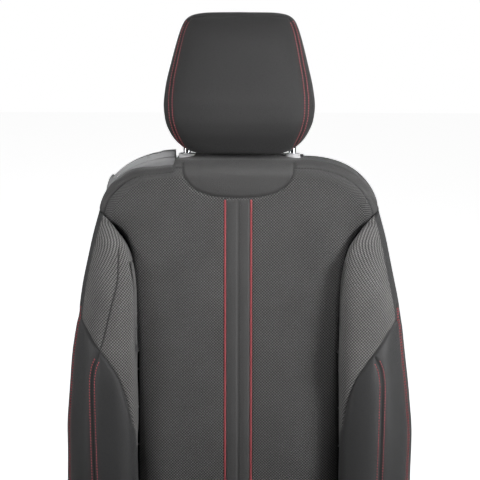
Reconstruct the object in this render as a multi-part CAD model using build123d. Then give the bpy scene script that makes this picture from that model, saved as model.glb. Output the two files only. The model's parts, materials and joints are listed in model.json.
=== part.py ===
from build123d import *
import math
import os

# A front sports seat for a road car: floor rails, base frame, reclining backrest with side
# bolsters, a head restraint on two posts, and a fold release lever on the outboard shoulder.
# Millimetres. +Z is up and the occupant faces -Y. The origin is the centre of the four floor bolts,
# on the floor. "outboard" is the door side (-X), "inboard" is the tunnel side (+X).
# The backrest is drawn in its own axes: u across, v up along the torso line from the recline
# hinge, w forward out of the padding.

os.makedirs("parts", exist_ok=True)

# ---- rails and floor bolts ----
RAIL_GAUGE = 410.0        # between the two rails' centre lines
BOLT_SPACING = 400.0      # between the front and rear floor bolts
FLOOR_BOLT_RADIUS = 4.5   # clearance hole for an M8 bolt
RAIL_END = 22.0           # rail beyond each floor bolt's centre
LOWER_RAIL_HALF = 25.0
LOWER_RAIL_HEIGHT = 28.0
LOWER_RAIL_WALL = 3.0
RAIL_SLOT_HALF = 12.0     # the open slot in the lower rail's top
UPPER_RAIL_LENGTH = 340.0
UPPER_FLANGE_HALF = 19.0  # the flange that runs inside the lower rail
UPPER_FLANGE_LIFT = 1.5   # above the lower rail's floor
RAIL_NECK_HALF = 8.0
RAIL_TOP_HALF = 20.0
RAIL_TOP_LIFT = 5.0       # the upper rail's top flange above the lower rail
RAIL_FLANGE = 4.0         # thickness of both flanges
GLIDE_LENGTH = 32.0
SLIDE_TRAVEL = 100.0      # each way from the middle
RUNNING = 0.08            # radial clearance of a pin or rod in its bore
CLEAR = 0.3               # between parts of two bodies
HOLE_EASE = 0.1           # a bolt in its own hole

# ---- recline hinge ----
HINGE_Y = 190.0
HINGE_Z = 220.0
BACK_TILT = 15.0          # torso line behind the vertical, degrees
RECLINER_RADIUS = 38.0
RECLINER_FIXED = 8.0      # thickness of the half on the base
RECLINER_MOVING = 7.7     # thickness of the half on the backrest
RECLINER_BOSS = 18.0      # radius of the bearing boss between the halves
RECLINER_BOSS_DEPTH = 4.0
SYNC_ROD_RADIUS = 6.0
RECLINER_BOLT_CIRCLE = 29.0
RECLINER_BOLT_RADIUS = 3.0
RECLINER_BOLTS = 3
BOLT_HEAD = 4.0

# ---- base frame ----
BASE_WALL = 4.0
BASE_FRONT = -255.0
BASE_REAR = 165.0
BASE_TOP = 186.0          # top edge of the side members ahead of the hinge
BASE_FRONT_TOP = 168.0
HINGE_BOSS = 46.0         # side member around the hinge
BASE_FOOT = 36.0          # width of the foot on the rail
RAIL_BOLT_RADIUS = 4.0
RAIL_BOLT_HEAD_RADIUS = 6.5
RAIL_BOLT_Y = 110.0
RAIL_BOLT_DEPTH = 10.0
TUBE_RADIUS = 12.0
TUBE_WALL = 2.0
FRONT_TUBE_Y = -240.0
REAR_TUBE_Y = 118.0
PAN_FRONT = -305.0
PAN_REAR = -60.0
PAN_SHEET = 2.0
PAN_LIP = 25.0
SPRING_RADIUS = 2.0
SPRING_PITCH = 80.0
SPRINGS = 4

# ---- seat cushion ----
CUSHION_FRONT = -335.0
CUSHION_REAR = 174.0
CUSHION_TOP_FRONT = 328.0
CUSHION_TOP_REAR = 276.0
CUSHION_NOSE = 45.0       # radius of the front edge
CUSHION_GAP = 1.5         # over the pan and springs
APRON_BOTTOM = 152.0      # the cushion's front hangs this low over the pan
SWEEP_GAP = 4.0           # between the cushion's round rear and the backrest's lower end
BOLSTER_TOP = 350.0       # cushion side bolsters
BOLSTER_CREST = -60.0     # the top is level ahead of this
BOLSTER_REAR = 112.0
BOLSTER_REAR_TOP = 292.0
BOLSTER_SWEEP_REAR = 150.0
CUSHION_SEAM_HALF = 160.0
PAD_GAP = 2.0             # between neighbouring pads

# ---- side trims, outside the base ----
TRIM_DEPTH = 25.0
TRIM_WALL = 2.5
TRIM_GAP = 1.0
TRIM_BOTTOM = 62.0
TRIM_BOSS = 54.0          # trim around the hinge
TRIM_EDGE = 6.0           # rounding of the outer edge
SCREW_RADIUS = 2.4
SCREW_HEAD = 5.0
SCREW_POST = 6.5
SCREW_SITES = ((-215.0, 150.0), (60.0, 110.0))

# ---- recline lever ----
LEVER_THICKNESS = 11.0
LEVER_HUB = 21.0
LEVER_REACH = 165.0
LEVER_TIP = 11.0
LEVER_DROP = 16.0         # the handle's tip below its hub

# ---- slide handle ----
HANDLE_RADIUS = 7.0
HANDLE_PIVOT_Y = -70.0
HANDLE_PIVOT_Z = 54.0
HANDLE_FRONT_Y = -330.0
HANDLE_FRONT_Z = 74.0
HANDLE_INSET = 37.0       # arm's centre line inside the rail's centre line
HANDLE_BEND = 38.0
PIVOT_RADIUS = 5.0
BRACKET_WALL = 4.0
BRACKET_HALF = 12.0
GRIP_LENGTH = 190.0
GRIP_WALL = 3.0

# ---- backrest outline, in u and v ----
BACK_TOP = 690.0          # hinge to the top of the shoulders
NECK_HALF = 100.0         # half of the flat top between the shoulders
SHOULDER_OVERHANG = 14.0    # shoulders' corner beyond the rails' centre line
SHOULDER_DROP = 88.0
BACK_OVERHANG = 71.0        # bolsters' outside beyond the rails' centre line
SEAM_HALF = 160.0         # half the centre panel's width
PAD_BOTTOM = 100.0
BOLSTER_BOTTOM = 122.0
SEAM_TURN = 240.0         # below the top, where the seam turns outward
# ---- backrest depths, in w ----
PAD_BACK = 3.0
PAD_FRONT = 58.0
BACK_BOLSTER_FRONT = 104.0
CAP_DEPTH = 86.0          # padding over the frame's top
FLANK_REAR = -50.0        # the bolster's side reaches back to here
FLANK_DROP = 14.0         # the flank's top below the shoulder's corner
PAD_ROUND = 18.0
BACK_BOLSTER_ROUND = 26.0

# ---- backrest frame ----
SIDE_WALL = 4.0
SIDE_REAR = -58.0
SIDE_FRONT = -2.0
SIDE_TOP_DROP = 96.0
SIDE_FOOT = 42.0          # radius of the side member around the hinge
SIDE_FLANGE = 18.0
FLANGE_WALL = 3.0
FLANGE_START = 72.0
UPPER_CROSS_DROP = 130.0
UPPER_CROSS_HEIGHT = 30.0
UPPER_CROSS_DEPTH = 28.0
CROSS_WALL = 2.5
LOWER_CROSS_V = 56.0
LOWER_CROSS_HEIGHT = 30.0
LOWER_CROSS_DEPTH = 24.0
WIRE_RADIUS = 1.8
WIRE_W = -8.0
WIRE_FIRST = 160.0
WIRE_PITCH = 62.0
WIRES = 6
LUMBAR_HALF = 120.0
LUMBAR_LOW = 182.0
LUMBAR_HIGH = 345.0
LUMBAR_WALL = 3.0
LUMBAR_ROUND = 20.0

# ---- rear panel ----
PANEL_REAR = -84.0
PANEL_WALL = 3.0
PANEL_INSET = 7.0         # inside the backrest's outline
PANEL_BOTTOM = 26.0
PANEL_WAIST_GAP = 4.0       # rear panel outside the back side members
PANEL_WAIST_TOP = 112.0
PANEL_WAIST_BLEND = 70.0
PANEL_ROUND = 18.0

# ---- head restraint and its guides ----
POST_HALF = 84.0          # half the distance between the posts
POST_RADIUS = 6.0
POST_W = -10.0
POST_BELOW = 190.0        # post below the shoulders' top
POST_ABOVE = 150.0
SLEEVE_RADIUS = 9.0
SLEEVE_LENGTH = 140.0
COLLAR_RADIUS = 13.5
COLLAR_HEIGHT = 7.0
GUIDE_HALF = 12.0
GUIDE_LENGTH = 96.0
GUIDE_TOP_DROP = 92.0
HEADREST_LIFT = 10.0      # pad's underside above the shoulders' top
HEADREST_HEIGHT = 221.0
HEADREST_BOTTOM_HALF = 86.0
HEADREST_WIDE_HALF = 121.0
HEADREST_WIDE_V = 66.0
HEADREST_TOP_HALF = 92.0
HEADREST_BACK = -46.0
HEADREST_FRONT = 62.0
HEADREST_ROUND = 26.0
CORE_HALF = 96.0
CORE_LOW = 40.0           # above the pad's underside
CORE_HIGH = 178.0
CORE_HALF_DEPTH = 17.0
ARMATURE_WALL = 4.0
ARMATURE_HEIGHT = 26.0
HEADREST_TRAVEL = 70.0
NOTCH_PITCH = 17.5
NOTCH_DEPTH = 1.6
NOTCHES = 5
BUTTON_HALF = 4.0
BUTTON_HEIGHT = 4.0
BUTTON_INNER = 10.5       # from the post's axis to the button's inner end
BUTTON_OUTER = 18.0
BUTTON_TRAVEL = 3.0

# ---- shoulder release ----
RELEASE_LIFT = 0.5        # housing above the padding
RELEASE_BASE = 2.5        # thickness of the housing's floor
RELEASE_HEIGHT = 8.5      # top of the lever above the padding
RELEASE_REAR = -48.0
RELEASE_FRONT = -14.0
RELEASE_WALL = 2.5
RELEASE_START = 88.0      # angles round the shoulder, in degrees
RELEASE_SPLIT = 77.0
RELEASE_END = 33.0
RELEASE_PIN_ANGLE = 74.5
RELEASE_PIN_RADIUS = 1.5
RELEASE_EAR = 6.0         # length of each ear, in degrees round the shoulder
RELEASE_TRAVEL = 20.0

# ---- places worked out from the sizes above ----
RAIL_X = RAIL_GAUGE / 2
RAIL_LENGTH = BOLT_SPACING + 2 * RAIL_END
RAIL_TOP = LOWER_RAIL_HEIGHT + RAIL_TOP_LIFT + RAIL_FLANGE
BASE_INNER = RAIL_X + RAIL_TOP_HALF + TRIM_GAP
BASE_OUTER = BASE_INNER + BASE_WALL
FIXED_INNER = BASE_INNER - RECLINER_FIXED
MOVING_OUTER = FIXED_INNER - CLEAR
SIDE_OUTER = MOVING_OUTER - RECLINER_MOVING
SIDE_INNER = SIDE_OUTER - SIDE_WALL
SHOULDER_HALF = RAIL_X + SHOULDER_OVERHANG
BACK_HALF = RAIL_X + BACK_OVERHANG
PANEL_WAIST = SIDE_OUTER + PANEL_WAIST_GAP
TRIM_INNER = BASE_OUTER + TRIM_GAP
TRIM_OUTER = TRIM_INNER + TRIM_DEPTH
ROD_END = TRIM_OUTER + TRIM_GAP + LEVER_THICKNESS * 0.7
PAN_TOP = BASE_TOP + CUSHION_GAP + 2 * PAN_SHEET + 0.5
TUBE_Z = PAN_TOP - PAN_SHEET - TUBE_RADIUS
SPRING_Z = TUBE_Z + TUBE_RADIUS + SPRING_RADIUS
CUSHION_BASE = SPRING_Z + SPRING_RADIUS + CUSHION_GAP
HEADREST_LOW = BACK_TOP + HEADREST_LIFT
RELEASE_LOW = RELEASE_LIFT + RELEASE_BASE + CLEAR
BACK = Plane(
    origin=(0, HINGE_Y, HINGE_Z),
    x_dir=(1, 0, 0),
    z_dir=(0, -math.cos(math.radians(BACK_TILT)), math.sin(math.radians(BACK_TILT))),
)


def block(x, y, z):
    """A box between the low and high value of each axis."""
    size = [high - low for low, high in (x, y, z)]
    middle = [(high + low) / 2 for low, high in (x, y, z)]
    return Pos(*middle) * Box(*size)


def rod(start, end, radius):
    """A round bar between two points."""
    axis = Vector(*end) - Vector(*start)
    return Part(Solid.make_cylinder(radius, axis.length, Plane(origin=start, z_dir=axis)).wrapped)


def cross_rod(radius, low, high, y=0.0, z=0.0):
    """A round bar along X at (y, z)."""
    return rod((low, y, z), (high, y, z), radius)


def rounded(corners):
    """A face from (x, y, corner radius) corners."""
    points = [(x, y) for x, y, _ in corners]
    radii = [radius for _, _, radius in corners]
    return make_face(FilletPolyline(*points, radius=radii, close=True))


def across(face, low, high):
    """A (y, z) profile extruded along X from low to high."""
    return extrude(Plane.YZ.offset(low) * face, high - low)


def plate(face, low, high):
    """A (u, v) outline extruded along w from low to high."""
    return extrude(Pos(0, 0, low) * face, high - low)


def round_face_edges(part, place, radius, axis=Axis.Z):
    """Rounds the edges that lie in the plane at that place along the axis."""
    edges = part.edges().filter_by_position(axis, place - 0.01, place + 0.01)
    return fillet(edges, radius)


def both_sides(part):
    """The inboard part as drawn and its outboard mirror image."""
    return {"inboard": part, "outboard": mirror(part, about=Plane.YZ)}


# ---------------------------------------------------------------- floor rails
def lower_rail():
    span = (-RAIL_LENGTH / 2, RAIL_LENGTH / 2)
    inner = LOWER_RAIL_HALF - LOWER_RAIL_WALL
    rail = block((-LOWER_RAIL_HALF, LOWER_RAIL_HALF), span, (0, LOWER_RAIL_HEIGHT))
    rail -= block((-inner, inner), span, (LOWER_RAIL_WALL, LOWER_RAIL_HEIGHT - LOWER_RAIL_WALL))
    rail -= block(
        (-RAIL_SLOT_HALF, RAIL_SLOT_HALF),
        span,
        (LOWER_RAIL_HEIGHT - LOWER_RAIL_WALL, LOWER_RAIL_HEIGHT),
    )
    for y in (-BOLT_SPACING / 2, BOLT_SPACING / 2):
        rail -= rod((0, y, 0), (0, y, LOWER_RAIL_WALL), FLOOR_BOLT_RADIUS)
    return Pos(RAIL_X, 0, 0) * rail


def upper_rail_body():
    span = (-UPPER_RAIL_LENGTH / 2, UPPER_RAIL_LENGTH / 2)
    low = LOWER_RAIL_WALL + UPPER_FLANGE_LIFT
    rail = block((-UPPER_FLANGE_HALF, UPPER_FLANGE_HALF), span, (low, low + RAIL_FLANGE))
    rail += block((-RAIL_NECK_HALF, RAIL_NECK_HALF), span, (low, RAIL_TOP))
    rail += block((-RAIL_TOP_HALF, RAIL_TOP_HALF), span, (RAIL_TOP - RAIL_FLANGE, RAIL_TOP))
    return rail


def upper_rail():
    rail = upper_rail_body()
    for y in (-RAIL_BOLT_Y, RAIL_BOLT_Y):
        rail -= rod((0, y, RAIL_TOP - RAIL_BOLT_DEPTH), (0, y, RAIL_TOP), RAIL_BOLT_RADIUS + HOLE_EASE)
    return Pos(RAIL_X, 0, 0) * rail


def rail_glides():
    """Plastic shoes round the upper rail's ends, which run inside the lower rail."""
    half = LOWER_RAIL_HALF - LOWER_RAIL_WALL - CLEAR
    heights = (LOWER_RAIL_WALL + CLEAR, LOWER_RAIL_HEIGHT - LOWER_RAIL_WALL - CLEAR)
    shoes = []
    for end in (-1, 1):
        far = end * UPPER_RAIL_LENGTH / 2
        span = sorted((far, far - end * GLIDE_LENGTH))
        shoe = block((-half, half), span, heights) - upper_rail_body()
        shoes += [Pos(side * RAIL_X, 0, 0) * piece for piece in shoe.solids() for side in (-1, 1)]
    return Compound(children=shoes)


# ---------------------------------------------------------------- base frame
def side_profile(grow=0.0):
    """The base side member's outline in y and z; grow moves the hinge end outward."""
    boss = HINGE_BOSS + grow
    return rounded(
        (
            (BASE_FRONT, RAIL_TOP, 8),
            (BASE_REAR, RAIL_TOP, 8),
            (HINGE_Y + boss, HINGE_Z - boss, 20),
            (HINGE_Y + boss, HINGE_Z + boss, boss * 0.9),
            (HINGE_Y - boss, HINGE_Z + boss, boss * 0.9),
            (HINGE_Y - boss - 8, BASE_TOP, 10),
            (BASE_FRONT, BASE_FRONT_TOP, 25),
        )
    )


def base_side():
    """A stamped side member with its foot on the upper rail."""
    side = across(side_profile(), BASE_INNER, BASE_OUTER)
    foot_inner = BASE_OUTER - BASE_FOOT
    rail_half = UPPER_RAIL_LENGTH / 2
    side += block(
        (foot_inner, BASE_OUTER), (-rail_half, BASE_REAR - 10), (RAIL_TOP, RAIL_TOP + BASE_WALL)
    )
    for y in (-RAIL_BOLT_Y, RAIL_BOLT_Y):
        side -= rod((RAIL_X, y, RAIL_TOP), (RAIL_X, y, RAIL_TOP + BASE_WALL), RAIL_BOLT_RADIUS + HOLE_EASE)
    side -= cross_rod(SYNC_ROD_RADIUS + RUNNING, BASE_INNER, BASE_OUTER, HINGE_Y, HINGE_Z)
    for y, z in recliner_bolt_sites():
        side -= cross_rod(RECLINER_BOLT_RADIUS + HOLE_EASE, BASE_INNER, BASE_OUTER, y, z)
    return side


def recliner_bolt_sites():
    turn = 2 * math.pi / RECLINER_BOLTS
    return [
        (
            HINGE_Y + RECLINER_BOLT_CIRCLE * math.sin(n * turn),
            HINGE_Z + RECLINER_BOLT_CIRCLE * math.cos(n * turn),
        )
        for n in range(RECLINER_BOLTS)
    ]


def rail_bolts():
    bolts = []
    for side in (-1, 1):
        for y in (-RAIL_BOLT_Y, RAIL_BOLT_Y):
            top = RAIL_TOP + BASE_WALL
            bolt = rod((side * RAIL_X, y, RAIL_TOP - RAIL_BOLT_DEPTH), (side * RAIL_X, y, top), RAIL_BOLT_RADIUS)
            head = extrude(RegularPolygon(RAIL_BOLT_HEAD_RADIUS, 6), BOLT_HEAD)
            bolts.append(bolt + Pos(side * RAIL_X, y, top) * head)
    return Compound(children=bolts)


def recliner_bolts():
    bolts = []
    for y, z in recliner_bolt_sites():
        bolt = cross_rod(RECLINER_BOLT_RADIUS, FIXED_INNER + RECLINER_BOSS_DEPTH, BASE_OUTER, y, z)
        bolt += cross_rod(RECLINER_BOLT_RADIUS * 1.8, BASE_OUTER, BASE_OUTER + BOLT_HEAD, y, z)
        bolts += both_sides(bolt).values()
    return Compound(children=bolts)


def cross_tube(y):
    tube = cross_rod(TUBE_RADIUS, -BASE_INNER, BASE_INNER, y, TUBE_Z)
    return tube - cross_rod(TUBE_RADIUS - TUBE_WALL, -BASE_INNER, BASE_INNER, y, TUBE_Z)


def seat_pan():
    """The pressed sheet under the front of the cushion, with a lip down each side member."""
    lip_front = FRONT_TUBE_Y + TUBE_RADIUS + 10
    pan = block((-BASE_INNER, BASE_INNER), (PAN_FRONT, PAN_REAR), (PAN_TOP - PAN_SHEET, PAN_TOP))
    for side in (-1, 1):
        wall = sorted((side * BASE_INNER, side * (BASE_INNER - PAN_SHEET)))
        pan += block(wall, (lip_front, PAN_REAR), (PAN_TOP - PAN_LIP, PAN_TOP))
    front = block(
        (-BASE_INNER, BASE_INNER), (PAN_FRONT, PAN_FRONT + PAN_SHEET), (PAN_TOP - PAN_LIP, PAN_TOP)
    )
    return pan + front


def cushion_springs():
    """Straight wires from the pan's rear edge over the rear tube."""
    first = -SPRING_PITCH * (SPRINGS - 1) / 2
    return Compound(
        children=[
            rod(
                (first + n * SPRING_PITCH, PAN_REAR, SPRING_Z),
                (first + n * SPRING_PITCH, REAR_TUBE_Y + SPRING_RADIUS, SPRING_Z),
                SPRING_RADIUS,
            )
            for n in range(SPRINGS)
        ]
    )


def recliner_fixed():
    disc = cross_rod(RECLINER_RADIUS, FIXED_INNER, BASE_INNER, HINGE_Y, HINGE_Z)
    disc -= cross_rod(SYNC_ROD_RADIUS + CLEAR, FIXED_INNER, BASE_INNER, HINGE_Y, HINGE_Z)
    recess = FIXED_INNER + RECLINER_BOSS_DEPTH
    disc -= cross_rod(RECLINER_BOSS + RUNNING, FIXED_INNER, recess, HINGE_Y, HINGE_Z)
    for y, z in recliner_bolt_sites():
        disc -= cross_rod(RECLINER_BOLT_RADIUS + HOLE_EASE, recess, BASE_INNER, y, z)
    return disc


def trim_profile():
    """The side trim's outline in y and z, rising round the hinge."""
    boss = TRIM_BOSS
    top = CUSHION_BASE - PAD_GAP
    return rounded(
        (
            (BASE_FRONT - 12, TRIM_BOTTOM, 22),
            (BASE_REAR + 20, TRIM_BOTTOM, 30),
            (HINGE_Y + boss, HINGE_Z - boss, 30),
            (HINGE_Y + boss, HINGE_Z + boss, boss * 0.9),
            (HINGE_Y - boss, HINGE_Z + boss, boss * 0.9),
            (HINGE_Y - boss - 6, top, 14),
            (BASE_FRONT - 12, top, 30),
        )
    )


def side_trim():
    """A moulded tray over the side member, open towards it, with two screw posts inside."""
    outline = trim_profile()
    shell = across(outline, TRIM_INNER, TRIM_OUTER)
    shell = round_face_edges(shell, TRIM_OUTER, TRIM_EDGE, Axis.X)
    cavity = across(offset(outline, -TRIM_WALL), TRIM_INNER, TRIM_OUTER - TRIM_WALL)
    cavity = round_face_edges(cavity, TRIM_OUTER - TRIM_WALL, TRIM_EDGE - TRIM_WALL, Axis.X)
    shell -= cavity
    for y, z in SCREW_SITES:
        shell += cross_rod(SCREW_POST, TRIM_INNER, TRIM_OUTER - TRIM_WALL, y, z)
        shell -= cross_rod(SCREW_RADIUS + HOLE_EASE, TRIM_INNER, TRIM_OUTER, y, z)
    return shell


def rod_hole(trim):
    """The outboard trim's hole for the synchronising rod."""
    return trim - cross_rod(SYNC_ROD_RADIUS + 1, -TRIM_OUTER, -TRIM_INNER, HINGE_Y, HINGE_Z)


def trim_screws():
    screws = []
    for y, z in SCREW_SITES:
        screw = cross_rod(SCREW_RADIUS, TRIM_INNER, TRIM_OUTER, y, z)
        head = cross_rod(SCREW_HEAD, TRIM_OUTER, TRIM_OUTER + SCREW_RADIUS, y, z)
        head = round_face_edges(head, TRIM_OUTER + SCREW_RADIUS, SCREW_RADIUS * 0.6, Axis.X)
        screws += both_sides(screw + head).values()
    return Compound(children=screws)


# ---------------------------------------------------------------- slide handle
def handle_brackets():
    """Ears on the upper rails that carry the slide handle's pivot pins."""
    inner = RAIL_X - RAIL_TOP_HALF + TRIM_GAP
    ear = across(
        rounded(
            (
                (HANDLE_PIVOT_Y - BRACKET_HALF, RAIL_TOP, 0),
                (HANDLE_PIVOT_Y + BRACKET_HALF, RAIL_TOP, 0),
                (HANDLE_PIVOT_Y + BRACKET_HALF, HANDLE_PIVOT_Z + BRACKET_HALF, BRACKET_HALF * 0.9),
                (HANDLE_PIVOT_Y - BRACKET_HALF, HANDLE_PIVOT_Z + BRACKET_HALF, BRACKET_HALF * 0.9),
            )
        ),
        inner,
        inner + BRACKET_WALL,
    )
    ear -= cross_rod(PIVOT_RADIUS + RUNNING, inner, inner + BRACKET_WALL, HANDLE_PIVOT_Y, HANDLE_PIVOT_Z)
    return Compound(children=list(both_sides(ear).values()))


def slide_bar():
    """One bent bar: two arms, the cross piece at the front, and a pivot pin on each arm."""
    x = RAIL_X - HANDLE_INSET
    path = FilletPolyline(
        (-x, HANDLE_PIVOT_Y, HANDLE_PIVOT_Z),
        (-x, HANDLE_FRONT_Y, HANDLE_FRONT_Z),
        (x, HANDLE_FRONT_Y, HANDLE_FRONT_Z),
        (x, HANDLE_PIVOT_Y, HANDLE_PIVOT_Z),
        radius=HANDLE_BEND,
    )
    start = Plane(origin=path @ 0, z_dir=path % 0)
    bar = sweep(start * Circle(HANDLE_RADIUS), path)
    pin_end = RAIL_X - RAIL_TOP_HALF + TRIM_GAP + BRACKET_WALL + 1
    for side in (-1, 1):
        span = sorted((side * x, side * pin_end))
        bar += cross_rod(PIVOT_RADIUS, *span, HANDLE_PIVOT_Y, HANDLE_PIVOT_Z)
        bar += Pos(side * x, HANDLE_PIVOT_Y, HANDLE_PIVOT_Z) * Sphere(HANDLE_RADIUS)
    return bar


def slide_grip():
    half = GRIP_LENGTH / 2
    grip = cross_rod(HANDLE_RADIUS + GRIP_WALL, -half, half, HANDLE_FRONT_Y, HANDLE_FRONT_Z)
    grip = fillet(grip.edges().filter_by(GeomType.CIRCLE), GRIP_WALL * 0.6)
    return grip - cross_rod(HANDLE_RADIUS, -half, half, HANDLE_FRONT_Y, HANDLE_FRONT_Z)


# ---------------------------------------------------------------- recline lever
def sync_rod():
    """Turns both recliners together; the lever is pressed on its outboard end."""
    return cross_rod(SYNC_ROD_RADIUS, -ROD_END, BASE_OUTER + TRIM_GAP * 2, HINGE_Y, HINGE_Z)


def recline_lever():
    """The paddle outside the outboard trim, pointing forward."""
    outer = -(TRIM_OUTER + TRIM_GAP)
    tip_y = HINGE_Y - LEVER_REACH
    tip_z = HINGE_Z - LEVER_DROP
    paddle = rounded(
        (
            (tip_y, tip_z - LEVER_TIP, LEVER_TIP * 0.9),
            (HINGE_Y - LEVER_HUB, HINGE_Z - LEVER_HUB, 6),
            (HINGE_Y + LEVER_HUB, HINGE_Z - LEVER_HUB, LEVER_HUB * 0.9),
            (HINGE_Y + LEVER_HUB, HINGE_Z + LEVER_HUB, LEVER_HUB * 0.9),
            (HINGE_Y - LEVER_HUB, HINGE_Z + LEVER_HUB, 14),
            (tip_y, tip_z + LEVER_TIP, LEVER_TIP * 0.9),
        )
    )
    lever = across(paddle, outer - LEVER_THICKNESS, outer)
    lever = round_face_edges(lever, outer - LEVER_THICKNESS, LEVER_THICKNESS * 0.3, Axis.X)
    return lever - cross_rod(SYNC_ROD_RADIUS, -ROD_END, outer, HINGE_Y, HINGE_Z)


# ---------------------------------------------------------------- seat cushion
def hinge_sweep(radius, rear):
    """The profile of the round rear end, inside the circle the backrest's lower end turns on."""
    height = HINGE_Z + radius - CUSHION_BASE
    length = radius + rear - HINGE_Y
    window = Pos(rear - length / 2, CUSHION_BASE + height / 2) * Rectangle(length, height)
    return (Pos(HINGE_Y, HINGE_Z) * Circle(radius)) & window


def cushion_center_pad():
    """The sitting surface; its nose hangs over the pan and its rear rises under the backrest."""
    profile = rounded(
        (
            (CUSHION_FRONT, APRON_BOTTOM, 10),
            (PAN_FRONT - CUSHION_GAP * 2, APRON_BOTTOM, 10),
            (PAN_FRONT - CUSHION_GAP * 2, CUSHION_BASE, 0),
            (CUSHION_REAR - PAD_GAP, CUSHION_BASE, 0),
            (CUSHION_REAR - PAD_GAP, CUSHION_TOP_REAR, 0),
            (CUSHION_FRONT, CUSHION_TOP_FRONT, CUSHION_NOSE),
        )
    )
    profile += hinge_sweep(PAD_BOTTOM - SWEEP_GAP, CUSHION_REAR)
    return across(profile, -CUSHION_SEAM_HALF, CUSHION_SEAM_HALF)


def cushion_bolster():
    """The raised side of the cushion; its rear end is round, under the backrest's bolster."""
    inner = CUSHION_SEAM_HALF + PAD_GAP
    front = CUSHION_FRONT + PAD_GAP * 2
    profile = rounded(
        (
            (front, APRON_BOTTOM, 10),
            (PAN_FRONT - CUSHION_GAP * 2, APRON_BOTTOM, 10),
            (PAN_FRONT - CUSHION_GAP * 2, CUSHION_BASE, 0),
            (BOLSTER_REAR, CUSHION_BASE, 0),
            (BOLSTER_REAR, BOLSTER_REAR_TOP, 0),
            (BOLSTER_CREST, BOLSTER_TOP, 60),
            (front, BOLSTER_TOP, CUSHION_NOSE),
        )
    )
    profile += hinge_sweep(BOLSTER_BOTTOM - SWEEP_GAP, BOLSTER_SWEEP_REAR)
    profile -= offset(trim_profile(), PAD_GAP / 2)
    section = rounded(
        (
            (inner, APRON_BOTTOM, 0),
            (TRIM_OUTER, APRON_BOTTOM, 0),
            (TRIM_OUTER, BOLSTER_TOP, CUSHION_NOSE * 0.7),
            (inner, BOLSTER_TOP, CUSHION_NOSE * 0.6),
        )
    )
    rear = BOLSTER_SWEEP_REAR + PAD_GAP
    return across(profile, inner, TRIM_OUTER) & extrude(Plane.XZ.offset(-rear) * section, rear - front)


# ---------------------------------------------------------------- backrest outlines
def shoulder_arc(grow, start, end):
    """The quarter ellipse of the shoulder, grown outward, between two angles in degrees."""
    return EllipticalCenterArc(
        center=(NECK_HALF, BACK_TOP - SHOULDER_DROP),
        x_radius=SHOULDER_HALF - NECK_HALF + grow,
        y_radius=SHOULDER_DROP + grow,
        start_angle=start,
        arc_size=end - start,
    )


def shoulder_point(angle, grow=0.0):
    turn = math.radians(angle)
    return Vector(
        NECK_HALF + (SHOULDER_HALF - NECK_HALF + grow) * math.cos(turn),
        BACK_TOP - SHOULDER_DROP + (SHOULDER_DROP + grow) * math.sin(turn),
    )


def seam_curve(shift=0.0):
    """The seam from the centre panel's straight side out to the shoulder's corner."""
    corner = shoulder_point(0)
    low = (SEAM_HALF + shift, BACK_TOP - SEAM_TURN)
    middle = (SEAM_HALF + 22 + shift, BACK_TOP - SHOULDER_DROP - 0.55 * (SEAM_TURN - SHOULDER_DROP))
    return Spline(low, middle, (corner.X, corner.Y - shift), tangents=((0, 1), (0.62, 0.78)))


def flank_curve(inset=0.0):
    """The bolster's outer side, from the shoulder down."""
    spread = BACK_HALF - SHOULDER_HALF
    top = BACK_TOP - SHOULDER_DROP
    reach = top - BOLSTER_BOTTOM
    return Spline(
        (SHOULDER_HALF - inset, top),
        (SHOULDER_HALF + 0.45 * spread - inset, top - 0.19 * reach),
        (SHOULDER_HALF + 0.86 * spread - inset, top - 0.44 * reach),
        (BACK_HALF - inset, top - 0.72 * reach),
        (SHOULDER_HALF + 0.94 * spread - inset, BOLSTER_BOTTOM),
    )


def center_outline():
    """The centre panel with both shoulders, as a face in u and v."""
    top = Line((0, BACK_TOP), (NECK_HALF, BACK_TOP))
    low = Line((0, PAD_BOTTOM), (SEAM_HALF, PAD_BOTTOM))
    side = Line((SEAM_HALF, PAD_BOTTOM), (SEAM_HALF, BACK_TOP - SEAM_TURN))
    middle = Line((0, PAD_BOTTOM), (0, BACK_TOP))
    half = make_face([top, shoulder_arc(0, 0, 90), seam_curve(), side, low, middle])
    return half + mirror(half, about=Plane.YZ)


def bolster_outline():
    inner = SEAM_HALF + PAD_GAP
    seam = seam_curve(PAD_GAP)
    flank = flank_curve()
    side = Line((inner, BOLSTER_BOTTOM), seam @ 0)
    low = Line((inner, BOLSTER_BOTTOM), flank @ 1)
    tip = Line(seam @ 1, flank @ 0)
    return make_face([side, seam, tip, flank, low])


# ---------------------------------------------------------------- backrest padding
def backrest_center_pad():
    """The centre panel, with a cap over the frame's top that the head restraint's guides pass."""
    outline = center_outline()
    pad = plate(outline, PAD_BACK, PAD_FRONT)
    pad = round_face_edges(pad, PAD_FRONT, PAD_ROUND)
    band = block((-BACK_HALF, BACK_HALF), (BACK_TOP - CAP_DEPTH, BACK_TOP + 1), (FLANK_REAR, PAD_BACK))
    pad += plate(outline, FLANK_REAR, PAD_BACK) & band
    for side in (-1, 1):
        sleeve = ((side * POST_HALF, v, POST_W) for v in (BACK_TOP - CAP_DEPTH, BACK_TOP))
        pad -= rod(*sleeve, SLEEVE_RADIUS + HOLE_EASE)
    return pad


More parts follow.
